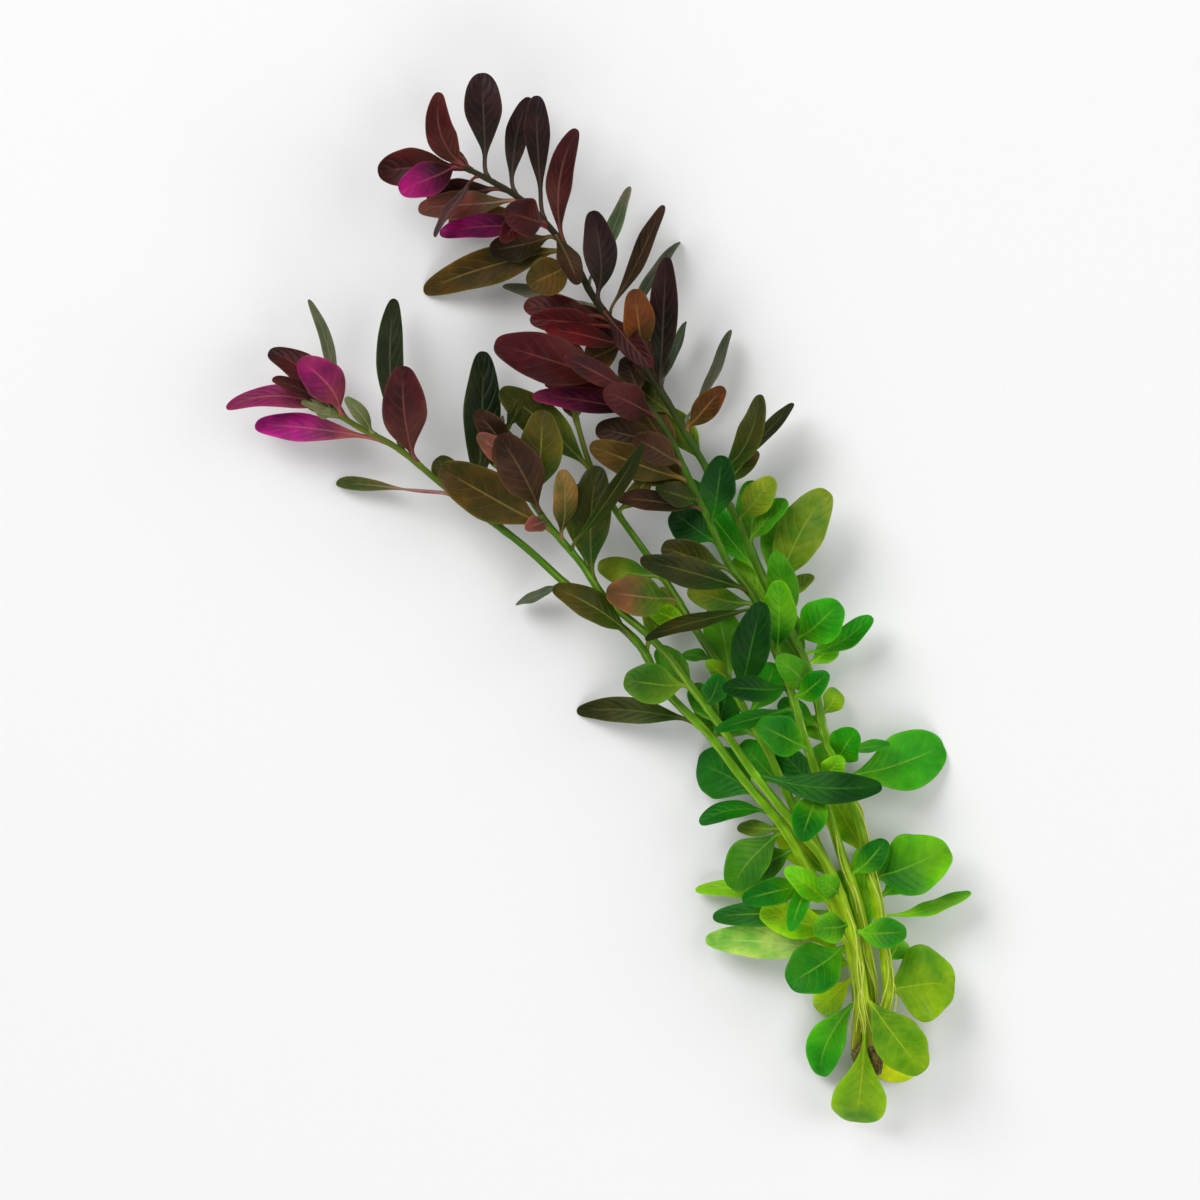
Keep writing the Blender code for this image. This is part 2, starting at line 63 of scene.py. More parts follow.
# Centre lines of the stems, from the crown to the growing tip.
STEMS = {
    "left": [
        (64.3, -109.5, 11.4), (64.9, -100, 11.8), (62.5, -87.5, 12.6), (58, -76.3, 13),
        (53, -68.8, 13), (45.8, -56.8, 13), (35, -43.8, 12.5), (27.3, -33.8, 12),
        (16.3, -22.5, 12), (8.8, -10, 12), (-6.8, 2.5, 12.5), (-20, 14.3, 13),
        (-36.3, 26.3, 14), (-50, 37.5, 15), (-60, 43, 16.5), (-66.3, 47, 18),
    ],
    "inner": [
        (67, -109.5, 13.4), (66, -100, 14.8), (64, -87.5, 15.8), (60.5, -75, 16.4),
        (56, -65, 16.6), (49.3, -56.8, 16.4), (38.8, -43.8, 16), (30.5, -32, 15.6),
        (21.5, -20, 15.4), (12.8, -9.5, 15.4), (1.8, 0, 15.8), (-5, 9.5, 16.2),
        (-13.8, 20, 17), (-19.5, 30, 18), (-23.8, 42.5, 20),
    ],
    "thin": [
        (65.3, -109.5, 8.2), (64.6, -100, 8.2), (63.2, -87.5, 8.4), (60, -75, 8.8),
        (55, -62.5, 9.3), (48.8, -52.5, 9.5), (42.5, -38.8, 9.5), (37, -29, 10),
        (28.8, -15, 10.5), (22.5, -5, 11), (16.3, 5, 12), (10, 13.8, 13),
        (3, 23.8, 14), (-2.5, 33.8, 15), (-6.3, 46.3, 16),
    ],
    "middle": [
        (68.7, -109.5, 8.2), (68.4, -100, 8.8), (67, -88, 10.4), (64.2, -75, 12.2),
        (60, -62.5, 13), (56.3, -50, 13.5), (51.3, -35, 14), (47.5, -22.5, 14),
        (40, -2.5, 14.5), (36.3, 3.8, 15), (32, 9.3, 15), (27.3, 19.8, 15.5),
        (21.8, 31.3, 16), (16.3, 42.5, 16.5), (9, 51.3, 17), (1, 57.5, 18), (-6, 61, 19.5),
    ],
    "tall": [
        (69.8, -109.5, 11.4), (72, -100, 11.8), (71.5, -90, 12), (69.5, -76.3, 12),
        (67.5, -67.5, 12), (65.5, -57.5, 11.5), (62.5, -50, 11), (59.5, -41.3, 10.5),
        (56.3, -34, 10), (53.8, -22.5, 9.5), (50, -12.5, 9.5), (45, -2.5, 9.5),
        (40, 7.5, 9.5), (34.5, 20, 10), (30, 27.5, 11), (22.5, 40, 12), (15, 52.5, 13),
        (4.5, 67.5, 14.5), (-2, 76.3, 15), (-6.3, 84.5, 15.5), (-12.5, 93, 16),
        (-21, 101, 16.5), (-35, 108.8, 18),
    ],
}

Leaf = namedtuple("Leaf", "at tip width paint roll bow sway start widest small")


def leaf(at, tip, width, paint, roll=0.0, bow=1.5, sway=0.0, start=None, widest=0.6):
    """A leaf that is a piece of its own.

    It grows where its stem passes y = at, from the side that faces its tip or, if start is
    given, from the side that start points to. roll turns its face about its length, bow
    lifts its middle off the straight line to the tip and sway moves it sideways. widest is
    the share of its length where it is as broad as width says.
    """
    return Leaf(at, tip, width, paint, roll, bow, sway, start, widest, False)


def small(at, tip, width, paint, roll=0.0, bow=1.0, sway=0.0, start=None, widest=0.6):
    """A leaf that belongs to the piece of its stem."""
    return Leaf(at, tip, width, paint, roll, bow, sway, start, widest, True)


# The leaves of each stem, from the crown to the growing tip.
LEAVES = {
    "left": [
        leaf(-101, (55.5, -119.5, 3), 10, "green", 15, sway=2),
        small(-95, (54.5, -103, 1.5), 7.5, "lime", 10),
        leaf(-89.5, (26.5, -85.3, 5), 8.5, "pale_lime", sway=1.5),
        leaf(-87, (47, -96, 20), 13.5, "two_green", 10),
        small(-84, (40, -78, 13), 9, "lime"),
        leaf(-79, (28.3, -79.5, 8), 7, "two_green", 20),
        small(-77, (46, -67, 23), 7, "bright_green", 20),
        leaf(-71, (35.5, -75, 19), 7, "two_green", 15),
        small(-69, (47.5, -82.5, 24), 5, "green", 20),
        leaf(-58.5, (33.3, -72.5, 12), 12, "mid_green", 25, 2, 1),
        small(-63, (38, -68, 4), 9, "mid_green", 10),
        small(-58, (34.5, -57, 6), 4.4, "olive_green", 20),
        small(-54, (25, -56, 12), 6.5, "dark_green", 45, 1.5, 2),
        leaf(-50.5, (24.5, -41.5, 0.1), 13.5, "dark_green", sway=1.2),
        small(-36, (32, -20, 4), 9, "dark_green", start=(0, 0, -1)),
        leaf(-31, (-5.8, -28, 0.1), 6.8, "dark_olive", 10, sway=1.3, widest=0.56),
        leaf(-10, (-11.8, 3, 21), 8.5, "olive", 25, 2.5, 0.3),
        small(4, (-21, -1, 4), 6, "grey_green", 60, -0.5),
        small(-14, (17, 3, 1), 9, "olive_green"),
        small(17, (-33, 32, 3), 7, "copper", 10),
        leaf(22, (-29.3, 62.3, 10), 9.5, "black_green", 10, 1, 0, start=(0.4, 1, -0.5)),
        small(24, (-41, 35.5, 8), 7.5, "olive"),
        leaf(26, (-66.3, 29.5, 1.1), 4.6, "blush_olive", 30, -0.8, 0.8, widest=0.84),
        leaf(34, (-49, 58.3, 26), 11.5, "dusty_maroon", 10, sway=-2),
        leaf(37, (-51.5, 75.5, 9), 7, "black_green", 10, 1, -2.3),
        leaf(39.5, (-86.5, 43.8, 7), 7.4, "magenta", 5, 2, 1, widest=0.66),
        small(43, (-77, 55, 3), 7, "wine"),
        small(41, (-63.5, 50.5, 22), 4, "young_green", 10),
        leaf(45.5, (-75, 59.5, 27), 10, "rose_magenta", 10, sway=1.5),
        leaf(46.3, (-93.5, 48, 13), 6.2, "rose_magenta", 20, 2, 3.5, widest=0.5),
        small(45.8, (-83, 62, 12), 8, "wine", 15, sway=2.5),
        small(46.5, (-72.8, 75, 19), 4.5, "grey_green", 40, 0.5, 1.2),
        small(46.6, (-81.8, 55, 21), 6, "wine", 50, sway=0.5),
        small(46.7, (-74.5, 49.3, 22), 3, "young_green", 30, 0.5),
        small(46.8, (-70.5, 47, 25), 2.8, "young_green", -30, 0.5),
    ],
    "inner": [
        leaf(-105, (64.3, -131, 4), 14, "warm_lime", 0, 5, start=(0, 0, 1), widest=0.72),
        leaf(-100, (80.5, -118, 18), 12.5, "warm_lime", 0, 2, widest=0.6),
        small(-82, (53, -82, 25), 8, "fresh_green", 10),
        small(-74, (54.5, -69, 25), 6, "fresh_green", 10, start=(-1, 0, 1)),
        small(-84, (76.5, -83, 20), 8, "two_green", -10),
        leaf(-44.5, (70.3, -46.5, 21), 8.5, "deep_green", -15, 2, 2),
        small(-33, (23, -21.5, 6), 7, "mid_green", start=(-1, 0, -1)),
        small(-24, (14.5, -12, 7), 7, "mid_green", start=(-1, 0, -1)),
        small(-27, (30, -18.5, 21), 6.5, "dark_green", 0, start=(1, 0, 1)),
        leaf(-22, (6, -20, 17), 10.5, "moss_green", 5),
        leaf(4, (-0.5, 33.5, 20.5), 10.5, "dark_olive", -10, 1, -1.3),
        small(6, (-6, 29, 9), 9, "olive", start=(0, 0, -1)),
        small(12, (10.5, 38.8, 32), 6.5, "dark_olive", 50, 1.8, -2, (0, 0, 1)),
        small(14.5, (-9.5, 32.5, 25), 7.5, "tan", 30, start=(0, 0, 1)),
        leaf(17, (-40, 33, 20), 12.5, "olive_brown", 0, 2),
        leaf(21, (-25, 41, 29), 11.5, "dark_brown", 10, 2),
        small(19, (-18.5, 17.5, 28), 4.8, "rose", 20),
        leaf(24, (-14.5, 47.3, 23), 11, "olive", 0, 1.5, 0.5),
        small(27, (-28, 44, 4), 9, "olive"),
        small(33, (-30.5, 41, 32), 6, "rose", 15),
        small(35, (-31, 47, 27), 7, "dark_brown", 10),
        small(42, (-20, 50, 25), 3.6, "dark_olive", 30, 0.5),
    ],
    "thin": [
        small(-93, (51, -87, 1.5), 9, "yellow_green", start=(-1, 0, -1)),
        small(-90, (60, -68, 2), 9, "bright_green"),
        small(-74, (24, -72.8, 2.5), 6, "bright_green", 40),
        small(-71, (45, -55, 1), 10, "yellow_green", start=(0, 0, -1)),
        small(-52, (60, -36, 2), 10, "fresh_green"),
        small(-48, (35.5, -36, 3), 9, "green", start=(-1, 0, -1)),
        small(-35, (24, -27, 3), 9, "mid_green", 10),
        small(-30, (44, -16, 3), 9, "green"),
        leaf(-26, (40.5, -0.5, 28), 10, "deep_green", -10, 1.5),
        leaf(-22, (28.8, -1.3, 4), 10, "mid_green", 10, 1, start=(1, 0, -1)),
        small(-20, (26.3, -15.5, 19), 4.8, "warm_lime", 20),
        small(-16, (20, -14.5, 7), 6, "mid_green", 60),
        small(-7, (12.5, -2.5, 9), 6, "lime", 10),
        small(5, (-0.5, 8.7, 6), 7, "olive_green"),
        leaf(-0.5, (1.5, 1.8, 21), 10.5, "green_blush", 10),
        leaf(31, (-25, 52.5, 17), 10, "olive", 0, 0.5, 1),
        small(21, (12.5, 31, 17), 5, "olive", 0, start=(1, 0, 1)),
        small(44, (-9.5, 52, 16.5), 3.6, "dusty_maroon", 20, 0.5),
    ],
    "middle": [
        small(-88, (66, -62, 2), 8, "bright_green", start=(0, 0, -1)),
        small(-70, (71.5, -60, 15), 7, "two_green", 0, start=(1, 0, 1)),
        small(-50, (44.5, -37, 4), 7, "dark_green", start=(-1, 0, -1)),
        small(-47, (50, -60, 26), 9, "two_green", 10),
        small(-45, (60.5, -39, 20), 6, "bright_green", 0, start=(1, 0, 1)),
        leaf(-38, (39, -31, 27), 10, "two_green", 10),
        small(-28, (28.8, -32.5, 24), 4.8, "dark_green", 20, 2),
        small(-25.5, (57, -18.3, 23), 7, "two_green", -15),
        small(-23, (30.5, -22, 24), 7, "deep_green", 15),
        small(-14, (44.5, 5, 28), 9, "fresh_green"),
        small(-2, (22, 2.5, 7), 7, "olive_green", start=(-1, 0, -1)),
        small(-3, (11.3, -10, 22), 7, "dark_olive", 50, 1.5),
        leaf(1.5, (10, 10, 23), 8.5, "dark_olive", -20, 2.5, 2),
        small(7, (15.5, 13.5, 14), 8.5, "olive"),
        leaf(13, (18, 22, 10), 10, "deep_green", 5),
        small(18, (30.5, 36, 25), 9, "deep_green"),
        small(22, (4.3, 25, 25), 7, "dark_brown", 45),
        small(24, (14.5, 27.5, 22), 6.5, "dark_olive", 10, start=(-1, 0, 1)),
        leaf(28, (7.5, 37.5, 6), 13.5, "olive_brown", 5),
        small(29, (-2.5, 38.7, 19), 8.5, "olive_brown"),
        small(32, (9, 50, 5), 9, "olive_brown", start=(-1, 0, -1)),
        small(33, (8.5, 40.5, 22.5), 8, "dark_brown", 10, start=(-1, 0, 1)),
        leaf(38, (-1, 43, 13), 8.5, "dark_brown", 5),
        small(45, (0.8, 52, 28), 9, "wine", 15),
        leaf(46, (-16.8, 50.8, 20), 7, "pink_tip", 30),
        small(50, (6, 61, 4), 6.5, "dark_brown", 0, -1, start=(0, 0, -1)),
        small(51, (-13.8, 54, 13), 4.2, "crimson", 10),
        leaf(54, (-26.3, 63.8, 25), 12.5, "wine_magenta", 10, 2),
        small(51.5, (-9, 60.5, 30), 6, "dusty_maroon", 10, start=(0.3, 0, 1)),
    ],
    "tall": [
        leaf(-107, (79.3, -119.5, 0.1), 16.5, "yellow_green", 0, -2, 0.2, widest=0.54),
        leaf(-99, (88.8, -97, 9), 20, "warm_lime", -10, sway=-1.5, widest=0.5),
        small(-92, (75, -85, 3), 8, "bright_green"),
        small(-80, (93, -73.3, 8), 7, "bright_green", -60, -1.6),
        small(-76, (79.5, -65.5, 3), 8, "green", start=(1, 0, -1)),
        leaf(-71, (87.5, -62.5, 12), 16, "fresh_green", -10, widest=0.5),
        small(-66, (57, -47, 2), 10, "lime"),
        leaf(-45.5, (86.3, -36.5, 0.1), 15, "green", -5, sway=1),
        small(-41, (64, -32.5, 23), 9.5, "green", -15),
        small(-38, (72.5, -36.3, 14), 6, "green", -65, -0.5),
        small(-30, (59.5, -22.5, 4), 6, "warm_lime", 10),
        small(-33, (45, -25.5, 2), 6.5, "green", start=(-1, 0, -1)),
        small(-37, (52.8, -29.5, 3), 6, "bright_green", start=(-1, 0, -1)),
        small(-20, (40, 0, 3), 11.5, "mid_green", start=(-1, 0, -1)),
        small(-17.5, (58.8, -10.5, 2), 6, "bright_green"),
        small(-24, (44, -14, 23), 7.5, "mid_green", 10, start=(-1, 0, 1)),
        small(-14.5, (68.3, -4.3, 9), 8, "green", -50, -2),
        leaf(-11, (60, -0.8, 18), 11.5, "green", -5),
        small(-8, (43.5, 12, 24), 8, "mid_green"),
        small(-0.5, (53.3, 6.3, 5), 7, "olive_green", -60, -0.5),
        leaf(0, (57, 27.3, 14), 12.5, "olive_green", -10, 2, -1.5),
        small(3, (46, 22.5, 4), 9.5, "mid_green"),
        small(5, (24, 27, 3), 8, "green"),
        small(-6, (33.8, 10.5, 3), 6.5, "bright_green", start=(-1, 0, -1)),
        small(12, (38, 30, 3), 8, "mid_green", start=(1, 0, -1)),
        small(13.5, (47, 24.5, 17), 8, "mid_green", -50),
        small(19, (43.3, 30.5, 21), 8, "olive_green", -10),
        small(27, (39.3, 37.5, 5), 6, "olive", -20),
        leaf(30, (40, 51.3, 19), 7, "dark_olive", -15, sway=3.5),
        small(31, (48.5, 49.3, 9), 6, "dark_olive", -50, -1.5),
        small(33, (16.5, 48, 5), 7, "olive_green", start=(-1, 0, -1)),
        small(28, (14, 28, 3), 7, "dark_green"),
        small(41.5, (31, 53, 21), 6.5, "copper", -10),
        small(43, (32.8, 67.8, 5), 7, "grey_green", -70, -1.5),
        small(45, (6, 56, 3), 9, "olive"),
        small(50, (10.5, 65, 6), 8, "dark_brown", start=(0, 0, -1)),
        small(52.5, (21.5, 69.8, 7), 6, "grey_green", -65, -0.5),
        leaf(52, (16.8, 85.5, 24), 8, "black_maroon", -15),
        small(58, (8.3, 77.3, 28), 8.5, "copper", 10, widest=0.66),
        small(60, (-8, 74, 2), 9, "wine"),
        small(62.5, (-13.8, 67.5, 22), 7, "crimson", 30),
        small(64, (-3.5, 60, 8), 8, "copper", start=(-1, 0, -1)),
        small(66, (20, 90, 0.4), 6, "grey_green", -60),
        leaf(67.5, (-17.5, 70, 17), 7, "crimson", 10),
        small(70.5, (16, 98.5, 19), 7, "dark_brown", -50, -0.5),
        small(70, (-19, 74, 11), 8, "wine", 10),
        small(73, (-24.3, 79, 2), 6, "grey_green", 60, -0.5),
        small(72, (13, 58, 26), 6.5, "wine", 10, start=(0, 0, 1)),
        leaf(74, (-2, 96.8, 28), 8.5, "black_maroon", sway=1.5),
        small(78, (7.5, 103.5, 12), 6, "grey_green", -50, -0.5),
        small(84, (-18, 78.5, 19), 10, "olive_brown"),
        small(91, (-5.5, 78.5, 25), 6, "dark_brown", -10, start=(0, 0, 1)),
        leaf(87, (-44.3, 77.6, 0.1), 9.5, "olive_brown", 0, 2, 1.8, widest=0.52),
        small(90.5, (-27.5, 87.5, 13), 8, "dark_brown"),
        leaf(88, (-5.8, 117.3, 25), 7, "dusty_maroon", -15, 1.5, -3),
        leaf(93, (-40, 91.3, 20), 7.5, "crimson_magenta", 35),
        small(93.5, (-23.8, 96.3, 30), 10, "wine", 10),
        small(98, (-24.5, 89, 25), 5.5, "wine", 10, start=(0, 0, 1)),
        leaf(94.5, (-15.8, 125.8, 21), 6.5, "black_maroon", -10, widest=0.72),
        small(96, (-38, 94.5, 5), 8, "copper"),
        leaf(99.5, (-45.5, 98, 11), 7.5, "rose", 10, 2),
        small(101, (-17.5, 125.8, 10), 6, "black_maroon", 15, 1, -2.5),
        small(102.5, (-43.5, 101.5, 9), 7, "wine"),
        leaf(105, (-29.5, 131.5, 20), 9.5, "black_maroon", widest=0.7),
        small(106, (-41, 90.3, 27), 6, "wine", 60),
        leaf(107.5, (-40, 126.5, 24), 7.5, "wine", 0, 1, -3.5, widest=0.5),
        leaf(108, (-55.5, 107, 15), 10, "wine", 10, 2),
        leaf(108.4, (-50, 101.8, 25), 9, "crimson_magenta", 10),
    ],
}

# The paints of the leaves: the colours by the stalk, at the tip and along the midrib.
PAINTS = {
    "magenta": ((140, 84, 40), (178, 14, 128), (196, 112, 120)),
    "rose_magenta": ((118, 50, 54), (124, 14, 80), (190, 104, 100)),
    "crimson_magenta": ((34, 4, 8), (140, 10, 92), (160, 70, 90)),
    "pink_tip": ((8, 0, 0), (112, 24, 62), (120, 60, 60)),
    "crimson": ((60, 14, 6), (76, 8, 14), (150, 66, 50)),
    "wine_magenta": ((56, 26, 6), (56, 8, 14), (130, 64, 54)),
    "wine": ((52, 22, 10), (58, 12, 14), (130, 70, 56)),
    "dusty_maroon": ((66, 34, 24), (62, 16, 20), (140, 84, 74)),
    "black_maroon": ((42, 34, 24), (34, 14, 17), (88, 72, 62)),
    "rose": ((96, 78, 42), (124, 66, 56), (176, 130, 110)),
    "dark_brown": ((58, 48, 20), (48, 27, 12), (122, 96, 64)),
    "copper": ((84, 66, 24), (92, 46, 14), (160, 120, 66)),
    "tan": ((52, 56, 8), (124, 98, 48), (150, 134, 80)),
    "olive_brown": ((82, 66, 20), (72, 52, 11), (150, 130, 62)),
    "blush_olive": ((150, 84, 98), (104, 104, 48), (176, 146, 124)),
    "green_blush": ((86, 116, 12), (116, 70, 40), (170, 130, 90)),
    "olive": ((68, 92, 18), (66, 60, 10), (138, 142, 58)),
    "dark_olive": ((46, 72, 12), (42, 44, 6), (104, 112, 44)),
    "olive_green": ((76, 122, 12), (110, 134, 22), (152, 170, 60)),
    "black_green": ((46, 52, 22), (22, 30, 10), (88, 98, 60)),
    "dark_green": ((34, 112, 4), (12, 98, 2), (84, 146, 36)),
    "deep_green": ((30, 104, 6), (4, 58, 2), (70, 130, 34)),
    "mid_green": ((84, 140, 12), (62, 136, 8), (130, 180, 60)),
    "moss_green": ((84, 124, 6), (58, 100, 6), (120, 160, 44)),
    "green": ((84, 168, 12), (44, 156, 6), (140, 198, 50)),
    "two_green": ((88, 168, 4), (10, 106, 2), (130, 190, 44)),
    "fresh_green": ((0, 104, 0), (88, 164, 2), (120, 190, 40)),
    "bright_green": ((96, 184, 6), (116, 196, 6), (176, 216, 60)),
    "young_green": ((84, 104, 40), (112, 118, 76), (150, 160, 110)),
    "pale_lime": ((176, 216, 112), (168, 214, 84), (200, 224, 120)),
    "lime": ((140, 188, 0), (136, 194, 2), (190, 216, 40)),
    "warm_lime": ((92, 142, 2), (110, 158, 2), (170, 200, 40)),
    "yellow_green": ((104, 180, 2), (184, 214, 6), (200, 220, 40)),
    "grey_green": ((92, 98, 66), (88, 92, 66), (130, 134, 106)),
}

# Where each of a paint's three colours is.
PAINTED = {"low": "by the stalk", "tip": "at the tip", "rib": "along the midrib"}

# The paints that keep their stalk's colour past the middle of the leaf.
LATE_PAINTS = ("pink_tip", "crimson_magenta", "green_blush")

# The fine roots: stem, height, reach, angle on the stem and change of that angle.
ROOTS = [
    ("tall", -50, 32, 25, 30),
    ("tall", -62, 30, 110, -50),
    ("tall", -83, 24, 40, 30),
    ("tall", -88, 20, 80, 60),
    ("tall", -95, 13, 20, -20),
    ("middle", -58, 20, 100, 20),
    ("middle", -70, 34, 75, -40),
    ("middle", -85, 22, 120, -60),
    ("middle", -92, 16, 60, 40),
    ("inner", -76, 26, 70, 40),
    ("inner", -84, 24, 110, -50),
    ("inner", -90, 18, 60, 60),
    ("inner", -97, 11, 130, 0),
    ("left", -70, 28, 130, -60),
    ("left", -82, 26, 60, 30),
    ("left", -92, 16, 120, 40),
    ("left", -98, 10, 80, 0),
    ("thin", -86, 22, 60, 60),
    ("thin", -96, 12, 40, 20),
]

# The colour setting of each stem's end.
STEM_ENDS = {
    "left": "pale_end",
    "inner": "pale_end",
    "thin": "pale_end",
    "middle": "dark_end",
    "tall": "dark_end",
}

# The paint of the youngest leaves round each growing tip.
BUDS = {
    "left": "young_green",
    "inner": "olive",
    "thin": "olive",
    "middle": "crimson",
    "tall": "wine",
}

# Length, spread and distance below the tip of each pair of bud leaves.
BUD_PAIRS = ((4.6, 0.62, 1.6), (3.4, 0.42, 0.7), (2.2, 0.2, 0.1))
BUD_WIDTH = 0.36  # share of a bud leaf's length
BUD_ROLL = 25.0
BUD_BOW = 0.3
BUD_TURN = 0.5  # radians from the side of the stem to the first pair

# Where the random draws of the bud leaves and the roots start. Other leaves count from 0.
BUD_SEED = 500
ROOT_SEED = 700

# The places of the three finishes in every piece's list of materials.
LEAF_FINISH, STEM_FINISH, BARK_FINISH = range(3)


def linear(red, green, blue):
    """A screen colour of 0 to 255 as the scene's linear light."""
    share = np.array((red, green, blue)) / 255
    return tuple(np.where(share < 0.04045, share / 12.92, ((share + 0.055) / 1.055) ** 2.4))


def hue(name, red, green, blue):
    """A colour setting, given as it looks on a screen."""
    return FloatVectorProperty(
        name=name,
        description=f"{name}, as it looks in even light",
        subtype="COLOR",
        size=3,
        min=0.0,
        max=1.0,
        default=linear(red, green, blue),
    )


def length(name, millimetres, description):
    """A length setting with a default in millimetres."""
    return FloatProperty(
        name=name,
        description=description,
        default=millimetres * MM,
        min=0.0,
        precision=5,
        subtype="DISTANCE",
        unit="LENGTH",
    )


def amount(name, value, description, top=1.0):
    """A plain number from 0 to top."""
    return FloatProperty(name=name, description=description, default=value, min=0.0, max=top)


def count(name, value, description):
    """A whole number of at least 3."""
    return IntProperty(name=name, description=description, default=value, min=3)


class LeafColours(bpy.types.PropertyGroup):
    """Three colours of each paint: by the stalk, at the tip and along the midrib."""

    __annotations__ = {
        f"{paint}_{part}": hue(f"{paint.replace('_', ' ').capitalize()} {where}", *colour)
        for paint, colours in PAINTS.items()
        for (part, where), colour in zip(PAINTED.items(), colours)
    }


class StemColours(bpy.types.PropertyGroup):
    """Colours of the stems, from the crown to the growing tips, and of the crown."""

    foot: hue("Stem at the crown", 122, 118, 20)
    low: hue("Stem by the crown", 150, 182, 6)
    middle: hue("Stem below its middle", 94, 152, 4)
    high: hue("Stem above its middle", 66, 112, 12)
    pale_end: hue("End of a pale stem", 96, 92, 34)
    dark_end: hue("End of a dark stem", 36, 32, 10)
    # Painted highlight: the pale colour laid along the crests of the stem ridges, low down.
    ridge_highlight: hue("Stem ridges", 196, 216, 70)
    bark: hue("Crown bark", 70, 54, 20)
    bark_light: hue("Crown bark on its ridges", 130, 116, 44)
    wood: hue("Cut face of the crown", 166, 166, 84)
    root: hue("Fine roots", 196, 212, 84)


class LeafSizes(bpy.types.PropertyGroup):
    """Sizes of a leaf that are the same for all of them."""

    petiole: length("Stalk width", 1.1, "Width of the leaf stalk")
    blade: length("Blade thickness", 0.34, "Thickness of the blade between its veins")
    rib: length("Midrib height", 0.5, "How far the midrib stands below the blade by the stalk")
    rib_width: length("Midrib width", 0.84, "Width of the midrib by the stalk")
    wave: length("Edge wave", 0.34, "How far the edge of a leaf 10 mm wide waves up and down")
    fold: amount("Fold", 0.16, "Rise of the edges for each length that they are off the midrib")
    droop: length("Droop", 0.5, "How far the blade arches down before its tip")
    spring: length("Spring", 1.0, "How far a stalk follows its stem before it turns out")
    rows: count("Rows", 42, "Rows of faces along a leaf")
    twist: FloatProperty(
        name="Twist",
        description="The most that a blade turns about its own length",
        default=0.2,
        subtype="ANGLE",
    )


class StemSizes(bpy.types.PropertyGroup):
    """Sizes of the stems and the crown."""

    base: length("Stem radius", 1.4, "Radius of a stem at the crown")
    tip: length("Tip radius", 0.7, "Radius of a stem at its growing tip")
    swelling: amount("Swelling", 0.1, "How much thicker a stem is where a leaf leaves it")
    ridges: amount("Ridges", 0.05, "Height of the four ridges, as a share of the radius")
    crown: length("Crown radius", 4.2, "Radius of the crown at its top")
    cut: length("Cut radius", 3.1, "Radius of the crown at its cut face")
    root: length("Root radius", 0.24, "Radius of a fine root where it leaves its stem")
    sides: count("Sides", 28, "Faces round a stem")


class StageSettings(bpy.types.PropertyGroup):
    """The floor, the lights and the camera."""

    floor: FloatVectorProperty(
        name="Floor colour",
        description="Colour of the floor that the plant lies on",
        subtype="COLOR",
        size=3,
        min=0.0,
        max=1.0,
        default=(0.86, 0.86, 0.86),
    )
    width: length("View width", 300, "Width of what the camera sees at the height of the leaves")
    distance: length("Camera distance", 2500, "Height of the camera above the leaves")
    light: FloatProperty(
        name="Light", description="Power of the main light", default=22.0, unit="POWER"
    )
    sky: amount("Sky", 0.22, "Strength of the even light from all round", 5.0)


# rib is the second colour: the veins on a leaf, the painted highlight on a stem's ridges, the root
# colour on a root and the pale bark on the crown.
Surface = namedtuple("Surface", "points quads triangles tint rib place finish")


def unit(vectors):
    """Vectors of length one in the same directions."""
    return vectors / np.linalg.norm(vectors, axis=-1, keepdims=True)


def step(value, low, high):
    """Rises smoothly from 0 at low to 1 at high: 3 t squared less 2 t cubed."""
    t = np.clip((value - low) / (high - low), 0.0, 1.0)
    return t * t * (3 - 2 * t)


def blend(first, second, share):
    """A mix of two colours or points for each of the shares."""
    share = np.asarray(share)[..., None]
    return np.asarray(first) * (1 - share) + np.asarray(second) * share


def skin(rings, first, last, tint, rib, place, finish):
    """A closed surface through rings of points, with a point at each end.

    rings is an array of rows by points by 3, and tint, rib and place have a value for each
    of its points. A face joins each pair of neighbours in a row to the same pair in the
    next row, and the two end points close the first and the last row with triangles. Rings
    run clockwise, seen in their direction of travel, and so the faces point outwards.
    """
    rows, sides = rings.shape[:2]
    grid = np.arange(rows * sides).reshape(rows, sides)
    ahead = np.roll(grid, -1, axis=1)
    quads = np.stack((grid[:-1], ahead[:-1], ahead[1:], grid[1:]), axis=-1).reshape(-1, 4)
    start = np.full(sides, rows * sides)
    caps = (
        np.stack((ahead[0], grid[0], start), axis=-1),
        np.stack((grid[-1], ahead[-1], start + 1), axis=-1),
    )
    points = np.concatenate((rings.reshape(-1, 3), [first, last]))

    def with_ends(values):
        ends = (values[0].mean(axis=0), values[-1].mean(axis=0))
        return np.concatenate((values.reshape(-1, 3), ends))

    return Surface(
        points,
        quads,
        np.concatenate(caps),
        with_ends(np.broadcast_to(tint, rings.shape)),
        with_ends(np.broadcast_to(rib, rings.shape)),
        with_ends(np.broadcast_to(place, rings.shape)),
        finish,
    )


def smooth_line(points, spacing=0.8):
    """Points along a curve through the given ones, by Catmull and Rom's rule.

    Between two knots the curve is a cubic of t from 0 to 1 whose slope at each knot is
    half the way from the knot before it to the one after it. The end knots are mirrored.
    """
    knots = np.asarray(points, float)
    knots = np.concatenate(([2 * knots[0] - knots[1]], knots, [2 * knots[-1] - knots[-2]]))
    line = []
    for before, start, stop, after in zip(knots, knots[1:], knots[2:], knots[3:]):
        parts = max(1, round(np.linalg.norm(stop - start) / spacing))
        t = np.arange(parts)[:, None] / parts
        pull = (stop - before) * t + (2 * before - 5 * start + 4 * stop - after) * t**2
        line.append(start + 0.5 * (pull + (3 * start - before - 3 * stop + after) * t**3))
    return np.concatenate((*line, [knots[-2]]))


def directions(line):
    """Unit vectors along, across and above a line: across lies flat and above is square to both."""
    along = unit(np.gradient(line, axis=0))
    across = unit(np.cross(along, UP))
    return along, across, np.cross(across, along)


